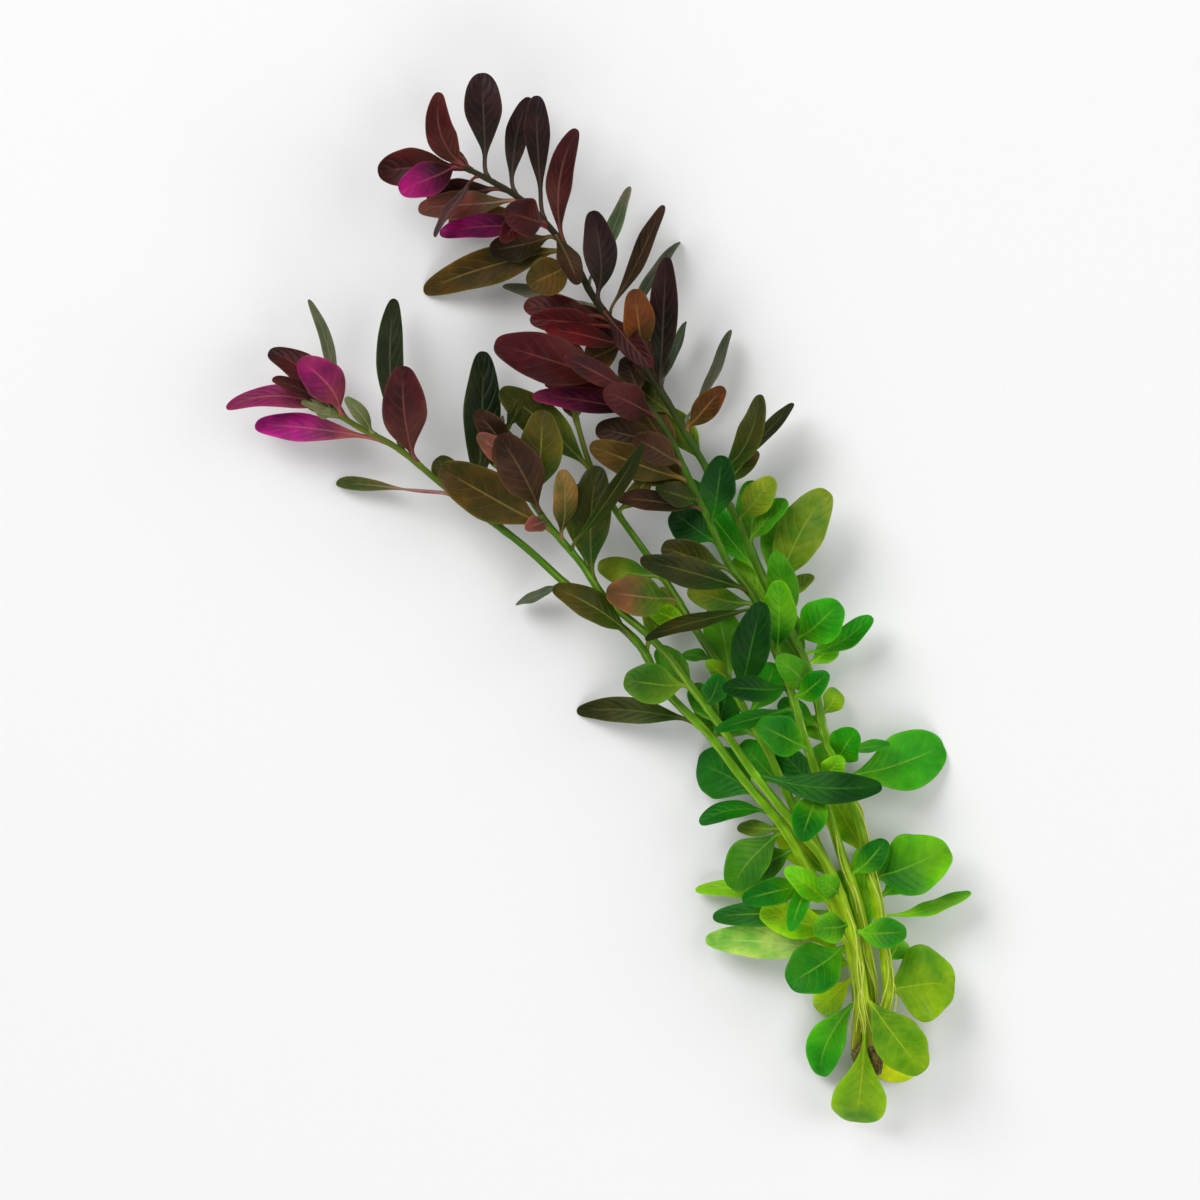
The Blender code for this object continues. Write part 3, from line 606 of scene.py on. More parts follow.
def around(sides):
    """The angles of the points round a ring, clockwise."""
    return -2 * np.pi * np.arange(sides) / sides


def circles(across, above, angle):
    """Unit circles in the planes of across and above, a row of points for each pair."""
    return across[:, None] * np.cos(angle)[:, None] + above[:, None] * np.sin(angle)[:, None]


def round_places(angle, height):
    """The cosine, height and sine that the streaks of a round piece follow."""
    return np.stack(np.broadcast_arrays(np.cos(angle), height, np.sin(angle)), axis=-1)


def at_height(line, values, height):
    """The values of a stem where it passes y = height, between its points."""
    return np.array([np.interp(height, line[:, 1], column) for column in values.T])


def stem_radii(line, sizes):
    """A stem thins evenly from the crown to its tip."""
    share = np.linspace(0, 1, len(line))
    return (sizes.base + (sizes.tip - sizes.base) * share) / MM


# The leaf's form. Lengths are in millimetres, and shares are of the leaf's length.
STALK_POWER = 1.45  # power of the outline's sine at the stalk: a narrow base
POWER_FALL = 1.03  # how much less that power is at the tip: a round end
FULL_WIDTH = 10  # width of a leaf that arches and waves as its settings say
SWAY_CHANCE = 0.3  # the most that chance adds to sway
SPRING_PEAK = 0.1  # share where the stalk stands furthest along its stem
DROOP_POWER = 2.2  # moves the droop's arch towards the tip
ROOT_DEPTH = 0.3  # share of the stem's radius where a leaf starts
ROW_POWER = 0.92  # spreads the rows, which lie closer together at the tip
FLARE = 0.25  # how much wider the stalk is at the stem
FLARE_REACH = 0.03  # share over which the stalk's flare fades
STALK_END = (0.3, 0.6)  # shares between which the stalk ends in the blade
BLADE_FROM = (0.5, 1.9)  # half widths between which a stalk is taken for a blade
RIPPLE = 0.014  # uneven width of the outline
RIPPLES = (2.5, 4)  # the fewest and the most ripples along a leaf
WAVES = (1.6, 2.6)  # the same of the edge's waves
WAVE_POWER = 2.5  # keeps the wave near the edge
FOLD_CHANCE = (0.7, 1.15)  # the least and the most of the fold that a leaf has
FOLD_ROUND = 0.25  # radius of the fold where the leaf is narrow
FOLD_WIDENS = 0.05  # what it gains for each millimetre of half width
RIB_NARROWS = 0.45  # how much narrower the midrib is at the tip
RIB_FADES = 0.8  # how much lower the midrib is at the tip
RIB_SHARE = 0.5  # share of the midrib's height on each side of a stalk
RIB_SINKS = 0.42  # how much less of it stands over a blade
RIB_DROPS = 0.3  # how much more of it stands under a blade
BLADE_THINS = 0.35  # how much thinner the blade is at the tip
STALK_EDGE = 2  # a stalk is an ellipse across
BLADE_EDGE = 14  # added to that power for a blade, which is flat up to its edge
GROOVE = 0.07  # depth of the groove over the midrib
FLOOR_GAP = 0.12  # the least height of a leaf over the floor


def outline(share, widest):
    """Width of a leaf at a share of its length, as a part of its greatest width.

    A sine that peaks at the widest place, narrowed towards the stalk and round at the tip:
    sin(pi times share to the power k) to a power that falls from the stalk to the tip.
    """
    skew = np.log(0.5) / np.log(widest)
    return np.sin(np.pi * share**skew) ** (STALK_POWER - POWER_FALL * share)


def leaf_spine(spec, root, growth, share, sizes, chance):
    """The midrib of a leaf and the unit vectors across and above it.

    The line runs from the root to the tip. A parabola of height bow lifts its middle and
    one of height sway moves it sideways. By the stem it follows the stem's growth, a bump
    of x times e to the power 1 less x, and before the tip it arches down by the droop.
    """
    tip = np.array(spec.tip)
    run = tip - root
    axis = unit(run)
    flat = unit(UP - axis * axis[2])
    turn = np.radians(spec.roll)
    face = flat * np.cos(turn) + np.cross(axis, flat) * np.sin(turn)
    side = np.cross(axis, face)
    bend = face * spec.bow + side * (spec.sway + chance.uniform(-SWAY_CHANCE, SWAY_CHANCE))
    t = share[:, None]
    near = t / SPRING_PEAK
    spring = growth * sizes.spring / MM * near * np.exp(1 - near) * (1 - t)
    arch = face * sizes.droop / MM * np.sin(np.pi * t**DROOP_POWER)
    arch = arch * min(1.0, spec.width / FULL_WIDTH)
    points = root + run * t + bend * 4 * t * (1 - t) + spring + arch
    along = unit(np.gradient(points, share, axis=0))
    above = unit(face - along * (along @ face)[:, None])
    across = np.cross(along, above)
    twist = sizes.twist * chance.uniform(-1, 1) * step(share, 0.2, 1.0)[:, None]
    return (
        points,
        across * np.cos(twist) + above * np.sin(twist),
        above * np.cos(twist) - across * np.sin(twist),
    )


# Places across a leaf from its left edge to its right edge, close by the midrib and the edges.
ACROSS = np.array((0.0, 0.055, 0.13, 0.23, 0.36, 0.52, 0.7, 0.87, 0.965, 1.0))
ACROSS = np.concatenate((-ACROSS[:0:-1], ACROSS))

# The same for a ring that goes over the leaf and back under it, and 1 where it is under.
RING_ACROSS = np.concatenate((ACROSS, ACROSS[-2:0:-1]))
RING_BACK = np.concatenate((np.zeros(len(ACROSS)), np.ones(len(ACROSS) - 2)))


def leaf_root(spec, line, radii):
    """Where a leaf starts inside its stem, and the stem's direction there."""
    along, _, _ = directions(line)
    centre = at_height(line, line, spec.at)
    growth = unit(at_height(line, along, spec.at))
    radius = np.interp(spec.at, line[:, 1], radii)
    outward = np.array(spec.start, float) if spec.start else np.array(spec.tip) - centre
    outward = unit(outward - growth * (outward @ growth))
    return centre + outward * radius * ROOT_DEPTH, growth


# The leaf's colour. Where it changes is given in shares of the leaf's length.
TONE_CHANCE = 0.16  # the most that chance makes a leaf lighter or darker
CHANGE_FROM = 0.12  # where the colour starts to turn from the stalk's to the tip's
CHANGE_TO = 0.72  # where it has turned
LATE_BY = 0.2  # how much later the late paints turn
LEAN_CHANCE = 0.1  # the most that chance moves CHANGE_TO
STALK_COLOUR = (0.03, 0.2)  # where the stalk's colour fades into the blade's
STALK_SHARE = 0.75  # how much of the veins' colour is in the stalk
STALK_SHADE = 0.8  # how bright that colour is there
UNDER_SHARE = 0.22  # how much of the veins' colour is in the underside
UNDER_SHADE = 0.7  # how bright that colour is there
EDGE_CHANCE = (-0.25, 0.55)  # how much darker or paler an edge may be than the midrib
EDGE_EVEN = 0.35  # the square of the place between them that keeps its brightness


def leaf_tints(spec, share, leafy, colours, chance):
    """The colour of each point of a leaf, and the colour of its veins.

    It runs from the stalk's colour to the tip's. The stalk is nearly the midrib's colour and
    the underside is mixed with it. The edges are darker or paler than the middle.
    """
    low, high, vein = (np.array(getattr(colours, f"{spec.paint}_{part}")) for part in PAINTED)
    tone = 1 + TONE_CHANCE * chance.uniform(-1, 1)
    lean = LEAN_CHANCE * chance.uniform(-1, 1)
    late = LATE_BY if spec.paint in LATE_PAINTS else 0.0
    turned = step(share, CHANGE_FROM + late, CHANGE_TO + late + lean)
    tint = blend(low, high, turned) * tone
    stalk = STALK_SHARE * (1 - step(share, *STALK_COLOUR))
    tint = blend(tint, vein * STALK_SHADE, stalk)
    shade = 1 + (RING_ACROSS**2 - EDGE_EVEN) * chance.uniform(*EDGE_CHANCE) * leafy
    tints = blend(tint[:, None], vein * UNDER_SHADE, UNDER_SHARE * RING_BACK)
    return tints * shade[..., None], vein


def leaf_surface(spec, line, radii, number, sizes, colours):
    """A leaf as a closed thin skin: stalk, blade, midrib and waved edge.

    Across the blade the middle surface is a rounded V, fold times the root of the distance
    squared plus the rounding squared, less the rounding. It waves at the edge with a sine
    along the length. The skin stands off it by half the blade's thickness and by the midrib,
    a bell curve that shrinks towards the tip, and closes to nothing at the edge. The petiole
    is where the outline is narrower than the stalk.
    """
    chance = np.random.default_rng(number)
    root, growth = leaf_root(spec, line, radii)
    share = np.sin(np.pi / 2 * (np.arange(sizes.rows) / sizes.rows) ** ROW_POWER)
    points, across, above = leaf_spine(spec, root, growth, share, sizes, chance)
    stalk = sizes.petiole / MM
    stalk = stalk * (1 + FLARE * np.exp(-share / FLARE_REACH)) * (1 - step(share, *STALK_END))
    blade = spec.width * outline(share, spec.widest)
    ripple = np.sin(2 * np.pi * (share * chance.uniform(*RIPPLES) + chance.random()))
    half = ((blade * (1 + RIPPLE * ripple)) ** 4 + stalk**4) ** 0.25 / 2

    share_here, half_here = share[:, None], half[:, None]
    leafy = step(half_here, *BLADE_FROM)
    d = half_here * ACROSS
    rounding = FOLD_ROUND + FOLD_WIDENS * half_here
    fold = sizes.fold * chance.uniform(*FOLD_CHANCE)
    lift = fold * (np.sqrt(d**2 + rounding**2) - rounding)
    phase = np.where(ACROSS < 0, chance.random(), chance.random())
    waves = chance.uniform(*WAVES)
    wave = np.sin(2 * np.pi * (waves * share_here + phase)) * np.abs(ACROSS) ** WAVE_POWER
    lift += wave * sizes.wave / MM * half_here / (FULL_WIDTH / 2) * leafy
    fade = 1 - RIB_FADES * share_here
    bell = np.exp(-((d / (sizes.rib_width / MM / 2 * (1 - RIB_NARROWS * share_here))) ** 2))
    rib = sizes.rib / MM * fade * bell
    close = np.sqrt(1 - np.abs(ACROSS) ** (STALK_EDGE + BLADE_EDGE * leafy))
    body = sizes.blade / MM / 2 * (1 - BLADE_THINS * share_here)
    groove = GROOVE * leafy * fade * bell**3
    top = lift + (body + rib * (RIB_SHARE - RIB_SINKS * leafy)) * close - groove
    under = lift - (body + rib * (RIB_SHARE + RIB_DROPS * leafy)) * close
    ring = np.concatenate((top, under[:, -2:0:-1]), axis=1)[..., None]
    offset = np.concatenate((d, d[:, -2:0:-1]), axis=1)[..., None]
    rings = points[:, None] + across[:, None] * offset + above[:, None] * ring
    rings[..., 2] = np.maximum(rings[..., 2], FLOOR_GAP)
    tints, vein = leaf_tints(spec, share, leafy, colours, chance)
    places = np.stack(np.broadcast_arrays(RING_ACROSS, share_here, half_here), axis=-1)
    tip = np.array(spec.tip)
    return skin(rings * MM, root * MM, tip * MM, tints, vein, places, LEAF_FINISH)


# The stem's form, in millimetres, and the scars' depth as a share of its radius.
JOINT_REACH = 1.1
SCAR_AWAY = 1.2
SCAR_WIDTH = 0.22
SCAR_DEPTH = 0.05
RIDGE_TURN = 0.02  # radians for each millimetre

# The stem's colours up the plant: the next one, and the heights between which it comes in.
STEM_CHANGES = (("low", -116, -94), ("middle", -90, -46), ("high", -48, -6))
END_CHANGE = (10, 62)
# The painted highlight on the ridges: the heights between which it turns from its pale colour to a
# brighter copy of the end's colour, and how many times brighter than the end it is there.
RIDGE_HIGHLIGHT_CHANGE = (-50, 45)
RIDGE_HIGHLIGHT_GAIN = 1.7  # how many times brighter than a stem's end its ridges are there
JOINT_LIGHT = 0.25  # how much paler a stem is at its joints


def stem_surface(line, radii, joints, sizes, colours, end):
    """A stem as a closed tube, four times ridged, that swells where leaves leave it.

    Its radius is the stem's times 1 plus a bell curve at each leaf joint, less a narrow one
    on each side of it for the scars, times 1 plus the ridges' share of the cosine of four
    times the angle, which turns slowly along the stem.
    """
    along, across, above = directions(line)
    height = line[:, 1]
    away = np.abs(height[:, None] - np.array(joints))
    bells = np.exp(-((away / JOINT_REACH) ** 2)).sum(axis=1)
    scars = np.exp(-(((away - SCAR_AWAY) / SCAR_WIDTH) ** 2)).sum(axis=1)
    swell = 1 + sizes.swelling * np.minimum(bells, 1) - SCAR_DEPTH * np.minimum(scars, 1)
    angle = around(sizes.sides)
    turn = angle + height[:, None] * RIDGE_TURN
    radius = radii[:, None] * swell[:, None] * (1 + sizes.ridges * np.cos(4 * turn))
    rings = line[:, None] + radius[..., None] * circles(across, above, angle)
    tint = colours.foot
    for shade, low, high in STEM_CHANGES:
        tint = blend(tint, getattr(colours, shade), step(height, low, high))
    tint = blend(tint, end, step(height, *END_CHANGE))
    tint = tint * (1 + JOINT_LIGHT * np.minimum(bells, 1))[:, None]
    tints = np.broadcast_to(tint[:, None], rings.shape)
    # Painted highlight for the ridges, which the stem's material lays along their crests.
    ridge_highlights = blend(colours.ridge_highlight, np.array(end) * RIDGE_HIGHLIGHT_GAIN, step(height, *RIDGE_HIGHLIGHT_CHANGE))
    places = round_places(turn, height[:, None])
    first = line[0] - along[0] * 0.5
    last = line[-1] + along[-1] * radii[-1]
    return skin(rings * MM, first * MM, last * MM, tints, ridge_highlights[:, None], places, STEM_FINISH)


def bud_leaves(line, paint):
    """The smallest leaves round a growing tip, in pairs that open less towards the middle."""
    along, across, above = directions(line)
    tip, ahead, side, lift = line[-1], along[-1], across[-1], above[-1]
    found = []
    for pair, (size, spread, back) in enumerate(BUD_PAIRS):
        turn = np.pi / 2 * pair + BUD_TURN
        out = side * np.cos(turn) + lift * np.sin(turn)
        for sign in (-1, 1):
            end = tip + ahead * size + out * sign * size * spread
            roll = BUD_ROLL * sign
            found.append(small(tip[1] - back, tuple(end), size * BUD_WIDTH, paint, roll, BUD_BOW))
    return found


def tube(path, radii, sides, tint, rib, finish):
    """A closed tube of the given radii round a path, with a point just past each end."""
    along, across, above = directions(path)
    angle = around(sides)
    rings = path[:, None] + radii[:, None, None] * circles(across, above, angle)
    first = path[0] - along[0] * radii[0] * 0.6
    last = path[-1] + along[-1] * radii[-1]
    places = round_places(angle, path[:, 1][:, None])
    return skin(rings * MM, first * MM, last * MM, tint, rib, places, finish)


# The crown's rows and sides, and the radii of its two round rims in millimetres.
FACE_ROWS = 12
BARK_ROWS = 46
CROWN_SIDES = 72
CUT_RIM = 0.35
TOP_RIM = 2.2


def crown_surface(sizes, colours):
    """The woody crown: a short tube with a rough bark, a round shoulder and a flat cut.

    Its radius grows from the cut to the top and follows a quarter circle at both rims. The
    bark stands out and in by four sines of the angle and the length.
    """
    cut, top = np.array(CROWN_CUT), np.array(CROWN_TOP)
    run = top - cut
    long = np.linalg.norm(run)
    axis = run / long
    side = unit(np.cross(axis, UP))
    lift = np.cross(side, axis)
    reach = np.concatenate((np.zeros(FACE_ROWS), np.linspace(0, 1, BARK_ROWS) * long))
    scale = np.concatenate((np.linspace(0.07, 0.96, FACE_ROWS), np.ones(BARK_ROWS)))
    lower = np.sqrt(1 - np.clip(1 - reach / CUT_RIM, 0, 1) ** 2)
    upper = np.sqrt(1 - np.clip(1 - (long - reach) / TOP_RIM, 0, 0.96) ** 2)
    body = (sizes.cut + (sizes.crown - sizes.cut) * step(reach / long, 0, 0.8)) / MM
    radius = body * (0.9 + 0.1 * lower) * upper * scale
    angle = around(CROWN_SIDES)
    a, r = np.meshgrid(angle, reach)
    rough = 0.035 * np.sin(9 * a + 2.2 * np.sin(r)) + 0.03 * np.sin(17 * a - 1.4 * r)
    rough = rough + 0.03 * np.sin(3 * a + 1.1 * r) + 0.02 * np.sin(5 * r + 2 * np.sin(4 * a))
    radius = radius[:, None] * (1 + rough * step(r, 0.2, 1.0))
    ring = circles(side[None], lift[None], angle)
    rings = cut + reach[:, None, None] * axis + radius[..., None] * ring
    face = 1 - step(reach, 0.05, 0.4)
    shade = 0.88 + 0.12 * np.cos(scale * 26) - 0.3 * (1 - step(scale, 0.1, 0.24))
    bark = blend(colours.bark, colours.bark_light, 0.5 + 6 * rough)
    wood = np.array(colours.wood) * shade[:, None]
    tints = blend(bark, wood[:, None], face[:, None])
    places = round_places(a, r)
    return skin(rings * MM, cut * MM, top * MM, tints, colours.bark_light, places, BARK_FINISH)


# The fine roots' form, in millimetres, and their way round the stem in degrees.
ROOT_POINTS = 40
ROOT_SIDES = 8
ROOT_WANDER = 14
ROOT_START = 0.7  # share of the stem's radius where a root starts
ROOT_OUT = 0.5  # what it gains at once, so that it lies on the stem
ROOT_LIFT = (0.1, 0.8)  # the least and the most that its middle stands off the stem
ROOT_FLICK = 0.5  # how far its end turns away from the stem
ROOT_TAPER = 0.6
ROOT_KNOTS = 0.08  # how uneven its thickness is


def fine_roots(lines, sizes, colours):
    """Fine pale roots that leave the stems at their lowest joints and run down along them.

    A root goes from the height at down its stem by reach, just off the stem's skin. The
    angle says which side of the stem it lies on, from 0 at the right over 90 at the top,
    and changes by drift on the way. A squared sine of the length lifts it off in the middle.
    """
    found = []
    t = np.linspace(0, 1, ROOT_POINTS)
    for number, (name, at, reach, angle, drift) in enumerate(ROOTS):
        chance = np.random.default_rng(ROOT_SEED + number)
        line, radii = lines[name]
        _, across, above = directions(line)
        height = at - reach * t
        centre = at_height(line, line, height).T
        side, lift = unit(at_height(line, across, height).T), unit(at_height(line, above, height).T)
        wander = ROOT_WANDER * np.sin(t * chance.uniform(5, 9) + number)
        turn = np.radians(angle + drift * t + wander)
        off = np.interp(height, line[:, 1], radii) * (ROOT_START + ROOT_OUT * step(t, 0, 0.12))
        off += np.sin(np.pi * t) ** 2 * chance.uniform(*ROOT_LIFT) + step(t, 0.7, 1) * ROOT_FLICK
        away = side * np.cos(turn)[:, None] + lift * np.sin(turn)[:, None]
        knots = 1 + ROOT_KNOTS * np.sin(21 * t + number)
        thick = sizes.root / MM * (1 - ROOT_TAPER * t) * knots
        path = centre + away * off[:, None]
        found.append(tube(path, thick, ROOT_SIDES, colours.root, colours.root, STEM_FINISH))
    return found


def make_piece(name, surfaces, node):
    """One object from closed surfaces, in the place of a solid and with the leaf, stem and bark
    finishes.
    """
    starts = np.cumsum([0] + [len(surface.points) for surface in surfaces])
    quads = np.concatenate([s.quads + start for s, start in zip(surfaces, starts)])
    triangles = np.concatenate([s.triangles + start for s, start in zip(surfaces, starts)])
    finish = np.concatenate(
        [np.full(len(s.quads), s.finish) for s in surfaces]
        + [np.full(len(s.triangles), s.finish) for s in surfaces]
    )
    mesh = bpy.data.meshes.new(name)
    points = np.concatenate([surface.points for surface in surfaces])
    mesh.from_pydata(points.tolist(), [], quads.tolist() + triangles.tolist())
    mesh.polygons.foreach_set("material_index", finish.astype(np.int32))
    mesh.shade_smooth()
    for name_of in ("tint", "rib", "place"):
        values = np.concatenate([getattr(surface, name_of) for surface in surfaces])
        layer = mesh.attributes.new(name_of, "FLOAT_VECTOR", "POINT")
        layer.data.foreach_set("vector", values.astype(np.float32).ravel())
    mesh.update()
    for make in (leaf_skin, stem_skin, crown_bark):
        mesh.materials.append(make())
    made = bpy.data.objects.new(name, mesh)
    bpy.context.scene.collection.objects.link(made)
    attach(made, "root")
    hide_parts(node)


class Value:
    """A socket that carries a number. Arithmetic on it adds Math nodes."""

    def __init__(self, graph, socket):
        self.graph = graph
        self.socket = socket

    def math(self, operation, *others):
        """A Math node's result for this number and the others."""
        inputs = dict(enumerate((self, *others)))
        return self.graph.value("ShaderNodeMath", {"operation": operation}, inputs)

    def __add__(self, other):
        return self.math("ADD", other)

    def __mul__(self, other):
        return self.math("MULTIPLY", other)

    def __sub__(self, other):
        return self.math("SUBTRACT", other)

    def __pow__(self, other):
        return self.math("POWER", other)

    def __rsub__(self, other):
        return self * -1 + other

    __radd__ = __add__
    __rmul__ = __mul__

    def size(self):
        """The number without its sign."""
        return self.math("ABSOLUTE")

    def rise(self, low, high):
        """Rises smoothly from 0 at low to 1 at high."""
        inputs = {"Value": self, "From Min": low, "From Max": high}
        settings = {"interpolation_type": "SMOOTHSTEP"}
        return self.graph.value("ShaderNodeMapRange", settings, inputs)


class Graph:
    """The nodes of one material, with its Principled shader."""

    def __init__(self, name):
        self.material = bpy.data.materials.new(name)
        self.material.use_nodes = True
        self.tree = self.material.node_tree
        self.shader = self.tree.nodes["Principled BSDF"]

    def node(self, kind, settings=None, inputs=None):
        """A node of a kind, with its settings first and then its sockets' values or links."""
        made = self.tree.nodes.new(kind)
        for name, setting in (settings or {}).items():
            setattr(made, name, setting)
        self.fill(made, inputs or {})
        return made

    def fill(self, node, inputs):
        """Set a node's sockets to values, or link them where a socket is given."""
        for name, given in inputs.items():
            given = given.socket if isinstance(given, Value) else given
            if isinstance(given, bpy.types.NodeSocket):
                self.tree.links.new(given, node.inputs[name])
            else:
                node.inputs[name].default_value = given

    def value(self, kind, settings=None, inputs=None):
        """A node's first output as a number to do arithmetic with."""
        return Value(self, self.node(kind, settings, inputs).outputs[0])

    def mixed(self, share, first, second):
        """A mix of two colours."""
        settings = {"data_type": "RGBA", "clamp_factor": True}
        return self.node("ShaderNodeMix", settings, {0: share, 6: first, 7: second}).outputs[2]

    def scaled(self, colour, factor):
        """A colour made brighter or darker by a number."""
        settings = {"operation": "SCALE"}
        inputs = {0: colour, "Scale": factor}
        return self.node("ShaderNodeVectorMath", settings, inputs).outputs[0]

    def toned(self, colour, red, green, blue):
        """A colour with each of its parts times a number."""
        gains = self.node("ShaderNodeCombineXYZ", None, {0: red, 1: green, 2: blue}).outputs[0]
        settings = {"operation": "MULTIPLY"}
        return self.node("ShaderNodeVectorMath", settings, {0: colour, 1: gains}).outputs[0]

    def attribute(self, name):
        """A vector that is stored on the mesh."""
        return self.node("ShaderNodeAttribute", {"attribute_name": name}).outputs["Vector"]

    def parts(self, vector):
        """The three numbers of a vector."""
        outputs = self.node("ShaderNodeSeparateXYZ", None, {0: vector}).outputs
        return [Value(self, output) for output in outputs]

    def noise(self, vector, scale, detail=2.0, roughness=0.5):
        """Soft noise of 0 to 1 with a number of waves to the metre, or to the vector's unit."""
        inputs = {"Vector": vector, "Scale": scale, "Detail": detail, "Roughness": roughness}
        return self.value("ShaderNodeTexNoise", None, inputs)

    def here(self):
        """The place on the object, in metres."""
        return self.node("ShaderNodeTexCoord").outputs["Object"]

    def finish(self, colour, roughness, height, distance, **constants):
        """Wire the shader: what varies, and then the values that are the same all over."""
        inputs = {"Strength": 1.0, "Distance": distance, "Height": height}
        bump = self.node("ShaderNodeBump", None, inputs).outputs[0]
        self.fill(self.shader, {"Base Color": colour, "Roughness": roughness, "Normal": bump})
        self.fill(self.shader, {name.replace("_", " "): value for name, value in constants.items()})
        return self.material


# How far red, green and blue light go in leaf and stem tissue, and the side veins: how many
# pairs a blade has, how far they lean towards the tip and how much they curve.
FLESH = (0.8, 1.0, 0.35)
VEIN_PAIRS = 8.5
VEIN_LEAN = 2.1
VEIN_CURVE = 1.3


@cache
def leaf_skin():
    """Satin leaf: its own tint, a pale midrib, arched side veins, blotches and fine cells."""
    graph = Graph("leaf skin")
    tint, vein = graph.attribute("tint"), graph.attribute("rib")
    across, along, half = graph.parts(graph.attribute("place"))
    here = graph.here()
    blotch = graph.noise(here, 85, 2)
    patch = graph.noise(here, 190, 3, 0.6)
    mottle = graph.noise(here, 520, 4, 0.6)
    cells = graph.noise(here, 3200, 2, 0.7)
    away = across.size()
    off = away * half
    rib = (1 - off.rise(0.08, 0.36)) * (1 - along.rise(0.62, 0.97))
    sweep = along * VEIN_PAIRS - away**VEIN_CURVE * VEIN_LEAN
    line = (sweep.math("FRACT") - 0.5).size() * 2
    blade = half.rise(0.8, 2.2)
    inner = (1 - away.rise(0.55, 1.0)) * blade
    veins = line.rise(0.74, 1.0) * inner
    edge = away.rise(0.84, 1.0) * blade
    shade = 0.45 + mottle * 0.55 + blotch * 0.5
    warm = patch.rise(0.36, 0.64) * 0.36 + blotch.rise(0.36, 0.64) * 0.64 - 0.5
    colour = graph.toned(graph.scaled(tint, shade), 1 + warm, 1 + warm * 0.36, 1 + warm * 0.8)
    colour = graph.mixed(blotch.rise(0.5, 0.75) * 0.2, colour, graph.scaled(vein, 0.5))
    colour = graph.mixed(edge * 0.14, colour, vein)
    colour = graph.mixed(veins * 0.08, colour, vein)
    colour = graph.mixed(rib * 0.46, colour, vein)
    quilt = (1 - line * line) * inner
    height = cells * 0.14 + mottle * 0.2 + patch * 0.3 + quilt * 0.3 - veins * 0.26 - rib * 0.3
    return graph.finish(
        colour,
        0.32 + mottle * 0.22,
        height,
        0.00026,
        Subsurface_Weight=0.2,
        Subsurface_Radius=FLESH,
        Subsurface_Scale=0.001,
        Specular_IOR_Level=0.13,
    )


@cache
def stem_skin():
    """Smooth stem: streaks along it, and a painted highlight along its four ridges that leaves the
    hollows between them darker.
    """
    graph = Graph("stem skin")
    tint, ridge_highlight = graph.attribute("tint"), graph.attribute("rib")
    cosine, height, sine = graph.parts(graph.attribute("place"))
    inputs = {0: cosine * 1.6, 1: height * 0.09, 2: sine * 1.6}
    wrapped = graph.node("ShaderNodeCombineXYZ", None, inputs).outputs[0]
    streak = graph.noise(wrapped, 2.2, 4, 0.6)
    here = graph.here()
    mottle = graph.noise(here, 240, 3)
    cells = graph.noise(here, 2600, 2)
    # Painted highlight: the highlight colour mixed in along the crests of the four ridges.
    highlight_crest = (cosine * cosine - 0.5).size() * 2
    colour = graph.scaled(tint, 0.35 + streak * 0.85 + mottle * 0.45)
    colour = graph.mixed(highlight_crest.rise(0.5, 1.0) * streak.rise(0.4, 0.7) * 0.55, colour, ridge_highlight)
    relief = streak * 0.6 + cells * 0.2
    return graph.finish(
        colour,
        0.34 + mottle * 0.2,
        relief,
        0.00016,
        Subsurface_Weight=0.15,
        Subsurface_Radius=FLESH,
        Subsurface_Scale=0.0012,
        Specular_IOR_Level=0.2,
    )


@cache
def crown_bark():
    """Woody crown: rough brown bark with paler cracks and a fibrous cut face."""
    graph = Graph("crown bark")
    tint, pale = graph.attribute("tint"), graph.attribute("rib")
    here = graph.here()
    inputs = {"Vector": here, "Scale": 620.0}
    settings = {"feature": "DISTANCE_TO_EDGE"}
    crack = graph.value("ShaderNodeTexVoronoi", settings, inputs).rise(0.0, 0.16)
    fibre = graph.noise(here, 900, 5, 0.7)
    patch = graph.noise(here, 210, 3)
    colour = graph.scaled(tint, 0.4 + fibre * 0.6 + patch * 0.5)
    colour = graph.mixed((1 - crack) * 0.35, colour, graph.scaled(pale, 0.35))
    return graph.finish(
        colour,
        0.62 + fibre * 0.25,
        fibre * 0.6 + crack * 0.5 + patch * 0.6,
        0.0004,
        Specular_IOR_Level=0.35,
    )


@cache
def floor_card():
    """Pale matt card."""
    graph = Graph("floor card")
    settings = bpy.context.scene.ludwigia_stage
    grain = graph.noise(graph.here(), 900, 2)
    colour = graph.scaled(tuple(settings.floor), 0.985 + grain * 0.03)
    return graph.finish(colour, 0.8 + grain * 0.1, grain, 0.00002, Specular_IOR_Level=0.2)


# How far a stem goes on inside the crown, in millimetres.
IN_CROWN = 3.0


def shoot(name):
    """Line, radii and leaves of a stem, with the number of its first leaf as a seed."""
    line = smooth_line(STEMS[name])
    radii = stem_radii(line, bpy.context.scene.ludwigia_stems)
    first = sum(len(LEAVES[other]) for other in list(LEAVES)[: list(LEAVES).index(name)])
    return line, radii, LEAVES[name], first


class LUDWIGIA_OT_crown(bpy.types.Operator):
    """Grow the woody crown with its cut face and fine roots"""

    bl_idname = "ludwigia.crown"
    bl_label = "Crown"

    def execute(self, context):
        sizes = context.scene.ludwigia_stems
        colours = context.scene.ludwigia_stem_colours
        lines = {name: shoot(name)[:2] for name in STEMS}
        surfaces = [crown_surface(sizes, colours), *fine_roots(lines, sizes, colours)]
        make_piece("woody_crown", surfaces, "crown")
        return {"FINISHED"}


